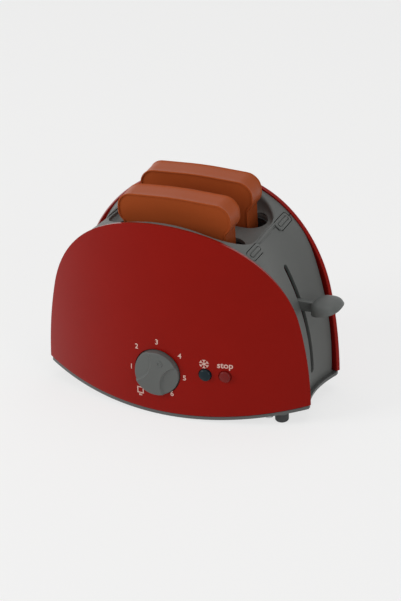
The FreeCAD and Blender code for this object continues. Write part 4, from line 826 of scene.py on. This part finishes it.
def slice_place(u, v):
    """A point of a slice: u runs round the outline, v from one face over the edge to the other."""
    number = round(u * SLICE_COLUMNS) % SLICE_COLUMNS
    inset, depth = slice_profile[round(v * (len(slice_profile) - 1))]
    spot = slice_path[number] - slice_normals[number] * inset
    across, rise = spot.x, spot.y - LEAN_LEVEL
    return Vector((SLICE_X + across * math.cos(SLICE_LEAN) - rise * math.sin(SLICE_LEAN), depth,
                   LEAN_LEVEL + across * math.sin(SLICE_LEAN) + rise * math.cos(SLICE_LEAN)))


toast = net("toast", SLICE_COLUMNS, len(slice_profile) - 1, slice_place, closed=True)
choose(toast, "EDGE", lambda edge: edge.is_boundary)
bpy.ops.mesh.fill_holes(sides=0)
bpy.ops.mesh.select_all(action="SELECT")
bpy.ops.mesh.normals_make_consistent(inside=False)
leave_edit()
for side, word in ((-1, "front"), (1, "back")):
    piece = toast.copy()
    piece.data = toast.data.copy()
    bpy.context.scene.collection.objects.link(piece)
    piece.name = f"{word}_slice_shown"
    for vertex in piece.data.vertices:
        vertex.co.y += SLICE_Y * side * MM
    finish(piece, toast_pp, "brown_toast", f"{word}_slice", f"{word}_slice_front", f"{word}_slice_back",
           angle=30)
bpy.data.objects.remove(toast)

# %% [markdown]
# ## Dial knob and buttons
# All three are turned about an axis through the front panel, so one helper lays a round net: its rows go
# outwards from the middle of the front and then back along the side. The knob's front is sunk by two round
# finger hollows with crisp edges, which leave a grip across it, and a small ring marks where it points.


# %% Round pieces on the front
DOME_STEPS, EDGE_STEPS = 12, 6


def turned(name, x, level, profile, columns=96, sink=None):
    """A round piece about an axis along Y: profile lists (radius, distance from the middle plane)."""
    def place(u, v):
        radius, reach = profile[round(v * (len(profile) - 1))]
        turn = 2 * math.pi * u
        across, rise = radius * math.sin(turn), radius * math.cos(turn)
        drop = sink(across, rise) if sink else 0
        return Vector((x + across, -reach + drop, level + rise))

    return net(name, columns, len(profile) - 1, place, closed=True)


def rounded_edge(radius, front, round_off):
    """The quarter turn from a round piece's front into its side."""
    turns = [math.pi / 2 * step / EDGE_STEPS for step in range(EDGE_STEPS + 1)]
    return [(radius - round_off * (1 - math.sin(turn)), front - round_off * (1 - math.cos(turn)))
            for turn in turns]


def domed_profile(radius, front, dome, round_off, back):
    """The front of a button: a shallow dome with a rounded edge, then its side."""
    points = [(0, front)]
    for step in range(1, DOME_STEPS + 1):
        share = step / DOME_STEPS * (radius - round_off) / radius
        points.append((radius * share, front - dome * share ** 2))
    return points + rounded_edge(radius, points[-1][1], round_off)[1:] + [(radius, back)]


# %% Dial knob
POINTING = 22.5
KNOB_FRONT, KNOB_SKIRT, KNOB_BACK, KNOB_EDGE, KNOB_CHAMFER = 53.6, 50.2, 47.6, 0.8, 0.3
SHAFT_RADIUS, SHAFT_STEP, STEM_RADIUS, STEM_END = 6, 44.5, 4, 38.5
BORE_RADIUS, BORE_END = 1.25, 43
FACE_STEPS, FACE_SPACING = 80, KNOB_RADIUS / 84
KNOB_COLUMNS, KNOB_BACK_COLUMNS = 256, 128
HOLLOW_RADIUS, HOLLOW_REACH = 15, 19.5
HOLLOW_STEP, HOLLOW_STEP_WIDTH, HOLLOW_SLOPE = 1.1, 0.8, 0.2
RING_PLACE, RING_RADIUS, RING_WIRE, RING_SINK, RING_LIFT = 8.6, 1.6, 0.45, 0.05, 0.35
hollows = [heading(POINTING + turn) * HOLLOW_REACH for turn in (-90, 90)]


def hollow_sink(across, rise):
    """How deep the knob's front lies there: a short steep step at a hollow's rim, then a gentle slope."""
    spot = Vector((across, rise))
    if spot.length > KNOB_RADIUS + 0.01:
        return 0
    inside = max(HOLLOW_RADIUS - (spot - centre).length for centre in hollows)
    return HOLLOW_STEP * min(1, inside / HOLLOW_STEP_WIDTH) + HOLLOW_SLOPE * inside if inside > 0 else 0


knob_profile = [(FACE_SPACING * step, KNOB_FRONT) for step in range(FACE_STEPS)]
knob_profile += rounded_edge(KNOB_RADIUS, KNOB_FRONT, KNOB_EDGE)
knob = turned("knob_shown", DIAL_X, DIAL_LEVEL, knob_profile, KNOB_COLUMNS, hollow_sink)
choose(knob, "EDGE", lambda edge: edge.is_boundary)
bpy.ops.mesh.extrude_region_move(TRANSFORM_OT_translate={"value": (0, 0, 0)})
for vertex in bmesh.from_edit_mesh(knob.data).verts:
    if vertex.select:
        vertex.co.y = -KNOB_SKIRT * MM
bmesh.update_edit_mesh(knob.data)
leave_edit()
knob_back = turned("knob_back", DIAL_X, DIAL_LEVEL, [
    (KNOB_RADIUS, KNOB_SKIRT), (KNOB_RADIUS, KNOB_BACK + KNOB_CHAMFER), (KNOB_RADIUS - KNOB_CHAMFER, KNOB_BACK),
    (SHAFT_RADIUS, KNOB_BACK), (SHAFT_RADIUS, SHAFT_STEP), (STEM_RADIUS, SHAFT_STEP), (STEM_RADIUS, STEM_END),
    (BORE_RADIUS, STEM_END), (BORE_RADIUS, BORE_END)], KNOB_BACK_COLUMNS)
ring = heading(POINTING) * RING_PLACE
bpy.ops.mesh.primitive_torus_add(major_radius=RING_RADIUS * MM, minor_radius=RING_WIRE * MM, major_segments=48,
                                 minor_segments=12, rotation=(math.pi / 2, 0, 0),
                                 location=((DIAL_X + ring.x) * MM, (RING_SINK - KNOB_FRONT) * MM,
                                           (DIAL_LEVEL + ring.y) * MM))
pointer = settle(bpy.context.object)
for vertex in pointer.data.vertices:
    vertex.co.y = max(vertex.co.y, -(KNOB_FRONT + RING_LIFT) * MM)
join(knob, knob_back, pointer)
finish(knob, handle_abs, "grey_handle", "dial", "knob", angle=30)

# %% Buttons
BUTTON_REACH, BUTTON_DOME, BUTTON_EDGE = 2.1, 0.7, 1.3
FLANGE_SIDE, FLANGE_WALL, FLANGE_GAP, STEM_SIDE, STEM_TIP = 1, 1.5, 0.3, 2, 32.5
BUTTONS = (("stop", STOP_X, STOP_RADIUS, stop_lens, "red_button"),
           ("defrost", DEFROST_X, DEFROST_RADIUS, defrost_cap, "blue_button"))
for word, x, radius, material, slot in BUTTONS:
    rim = radius + FLANGE_SIDE
    flange = panel_face(x + rim, BUTTON_LEVEL) - PANEL_WALL - FLANGE_GAP
    front = panel_face(x, BUTTON_LEVEL) + BUTTON_REACH
    profile = domed_profile(radius, front, BUTTON_DOME, BUTTON_EDGE, flange)
    profile += [(rim, flange), (rim, flange - FLANGE_WALL), (STEM_SIDE, flange - FLANGE_WALL),
                (STEM_SIDE, STEM_TIP), (0, STEM_TIP)]
    button = turned(f"{word}_button_shown", x, BUTTON_LEVEL, profile)
    finish(button, material, slot, f"{word}_button", f"{word}_button")

# %% [markdown]
# ## Lift lever
# The paddle is a domed leaf, thick at the arm and thin at its tip, with a crisp lower lip. Its outline is a
# superellipse, and its rows go round the edge as on the slices. The arm runs from it through the slot.

# %% Lever
PADDLE_X, ARM_LEVEL = 94.6, 71.8
PADDLE_HALF, PADDLE_SIDE, PADDLE_WALL = 10, 12, 7
PADDLE_TILT = math.radians(14.8)
SQUARENESS = 2.6
paddle_along = Vector((math.cos(PADDLE_TILT), 0, math.sin(PADDLE_TILT)))
paddle_up = Vector((-math.sin(PADDLE_TILT), 0, math.cos(PADDLE_TILT)))
WEDGE = 0.28
# (share of the outline, height), from the middle of the underside round the lip to the middle of the top
LEAF = ((0, 0.5), (0.5, 0.5), (0.93, 0.5), (0.95, 0.1), (0.975, 0), (0.99, 0.05), (1, 0.25), (1, 0.7),
        (0.985, 0.95), (0.975, 1.2), (0.972, 1.8), (0.955, 2.8), (0.92, 3.8), (0.865, 4.7), (0.79, 5.5),
        (0.68, 6.2), (0.52, 6.7), (0.3, 6.95), (0.12, PADDLE_WALL), (0, PADDLE_WALL))


def paddle_place(u, v):
    """A point of the paddle: u runs round its outline, v from the underside to the top."""
    share, height = LEAF[round(v * (len(LEAF) - 1))]
    turn = 2 * math.pi * u
    c, s = math.cos(turn), math.sin(turn)
    along = math.copysign(abs(c) ** (2 / SQUARENESS), c) * PADDLE_HALF * share
    across = math.copysign(abs(s) ** (2 / SQUARENESS), s) * PADDLE_SIDE * share
    thinning = 1 - WEDGE * along / PADDLE_HALF
    flat = Vector((PADDLE_X, across, ARM_LEVEL)) + paddle_along * along
    return flat + paddle_up * height * thinning


def bar(name, x, y, z, rounding):
    """A rounded bar between pairs of bounds, in millimetres."""
    middle = [(low + high) / 2 * MM for low, high in (x, y, z)]
    bpy.ops.mesh.primitive_cube_add(size=1, location=middle)
    piece = bpy.context.object
    piece.name = name
    piece.scale = [(high - low) * MM for low, high in (x, y, z)]
    return soften(settle(piece), rounding, segments=3)


PADDLE_COLUMNS = 96
ARM_START, ARM_END, ARM_SIDE, ARM_HALF, ARM_EDGE = 56.5, 90, 2, 3.5, 0.8
ROOT_WALL, ROOT_SIDE, ROOT_FOOT, ROOT_EDGE = 2, 7, 60.7, 0.4
arm_top = ARM_LEVEL + ARM_HALF
paddle = net("lever_shown", PADDLE_COLUMNS, len(LEAF) - 1, paddle_place, closed=True)
arm = bar("arm", (ARM_START, ARM_END), (-ARM_SIDE, ARM_SIDE), (ARM_LEVEL - ARM_HALF, arm_top), ARM_EDGE)
root_plate = bar("root_plate", (ARM_START, ARM_START + ROOT_WALL), (-ROOT_SIDE, ROOT_SIDE),
                 (ROOT_FOOT, arm_top), ROOT_EDGE)
join(paddle, arm, root_plate)
finish(paddle, handle_abs, "grey_handle", "carriage", "lever", angle=40)

# %% [markdown]
# ## Printed marks
# The dial's numbers, two pictograms and a word are printed in a pale ink. Text and bars are made flat, turned
# into meshes, and laid on the curved panel.


# %% Printed marks
# Pad-printing ink: a thin opaque film, flat and half matt.
ink = bpy.data.materials.new("pale_printing_ink")
ink.use_nodes = True
ink_shader = ink.node_tree.nodes["Principled BSDF"]
ink_shader.inputs["Base Color"].default_value = colour("E8C4B8")
ink_shader.inputs["Roughness"].default_value = 0.5
FILM = 0.06
CAPITAL_SHARE, BOLDNESS = 0.72, 0.022


def lay_on_panel(piece, x, level):
    """Move a flat mark from the XY plane onto the front panel, with its middle at x and level."""
    for vertex in piece.data.vertices:
        across, rise = x * MM + vertex.co.x, level * MM + vertex.co.y
        lift = FILM * MM if vertex.co.z >= 0 else -FILM * MM
        vertex.co = Vector((across, -panel_face(across / MM, rise / MM) * MM - lift, rise))
    return piece


def printed_text(words, x, level, height):
    """Words of a given height, with their middle at x and level."""
    bpy.ops.object.select_all(action="DESELECT")
    bpy.ops.object.text_add()
    text = bpy.context.object
    text.data.body = words
    text.data.align_x, text.data.align_y = "CENTER", "CENTER"
    text.data.size = height / CAPITAL_SHARE * MM
    text.data.extrude = FILM * MM
    text.data.offset = BOLDNESS * height * MM
    bpy.ops.object.convert(target="MESH")
    mark = bpy.context.object
    ys = [vertex.co.y for vertex in mark.data.vertices]
    xs = [vertex.co.x for vertex in mark.data.vertices]
    shift = Vector(((min(xs) + max(xs)) / 2, (min(ys) + max(ys)) / 2, 0))
    for vertex in mark.data.vertices:
        vertex.co -= shift
    return lay_on_panel(mark, x, level)


def printed_bar(x, level, length, width, turn):
    """A stroke of ink, turned clockwise from upright."""
    bpy.ops.object.select_all(action="DESELECT")
    bpy.ops.mesh.primitive_cube_add(size=1)
    stroke = bpy.context.object
    stroke.scale = (width * MM, length * MM, 2 * FILM * MM)
    stroke.rotation_euler.z = -math.radians(turn)
    settle(stroke)
    return lay_on_panel(stroke, x, level)


NUMBER_HEIGHT, WORD_HEIGHT = 3.6, 4.2
marks = [printed_text(words, x, level, NUMBER_HEIGHT) for words, x, level in (
    ("1", -23.1, 31.7), ("2", -18.9, 47.4), ("3", -4.3, 53.6), ("4", 11.6, 46.4), ("5", 14.7, 30.9),
    ("6", 5.9, 18.0))]
marks.append(printed_text("stop", 41.5, 42.1, WORD_HEIGHT))

# snowflake: three strokes through the middle, each with a small arrow at both ends
FLAKE_X, FLAKE_LEVEL, FLAKE_HEIGHT, FLAKE_STROKE = 27.9, 42.9, 6.2, 0.55
BARB_PLACE, BARB_TURN, BARB_LENGTH, BARB_STROKE, BARB_SHIFT = 0.33, 50, 1.5, 0.45, 0.6
flake = Vector((FLAKE_X, FLAKE_LEVEL))
for turn in (0, 60, 120):
    marks.append(printed_bar(*flake, FLAKE_HEIGHT, FLAKE_STROKE, turn))
    for end in (turn, turn + 180):
        for lean in (-BARB_TURN, BARB_TURN):
            place = flake + heading(end) * FLAKE_HEIGHT * BARB_PLACE + heading(end + lean) * BARB_SHIFT
            marks.append(printed_bar(*place, BARB_LENGTH, BARB_STROKE, end + lean))

# reheat: a slice of toast as a square frame, with a spark over its corner and warmth below
BREAD_X, BREAD_LEVEL, BREAD_SIZE, BREAD_STROKE = -16.8, 15.9, 4.0, 0.7
SPARK_X, SPARK_RISE, SPARK_LENGTH, SPARK_STROKE, SPARK_TURN = 2.7, 2.9, 1.5, 0.6, 35
WARMTH_DROP, WARMTH_LENGTH, WARMTH_STROKE, WARMTH_STEP = 3.4, 1.3, 0.5, 0.8
for turn in (0, 90, 180, 270):
    place = Vector((BREAD_X, BREAD_LEVEL)) + heading(turn) * (BREAD_SIZE / 2)
    marks.append(printed_bar(*place, BREAD_SIZE + BREAD_STROKE, BREAD_STROKE, turn + 90))
marks.append(printed_bar(BREAD_X + SPARK_X, BREAD_LEVEL + SPARK_RISE, SPARK_LENGTH, SPARK_STROKE, SPARK_TURN))
for step in (-1, 0, 1):
    marks.append(printed_bar(BREAD_X + WARMTH_STEP * step, BREAD_LEVEL - WARMTH_DROP, WARMTH_LENGTH,
                             WARMTH_STROKE, 0))
print_marks = join(*marks)
print_marks.name = "printed_marks"
finish(print_marks, ink, "white_slider", "housing", angle=20)

# %% [markdown]
# ## Smaller CAD pieces
# The base plate and the well's plate keep their CAD shape, with their sharp edges rounded as a mould rounds
# them. The well's plate gets the same slots as the cover above it.

# %% Softened CAD copies
MOULD_EDGE = 0.3
for name in ("base_plate", "well_plate"):
    piece = copy_node(name)
    if name == "well_plate":
        cut_toast_slots(piece)
    soften(piece, MOULD_EDGE, angle=40)
    finish(piece, FINISH[slot_of[name]], slot_of[name], "housing", name)
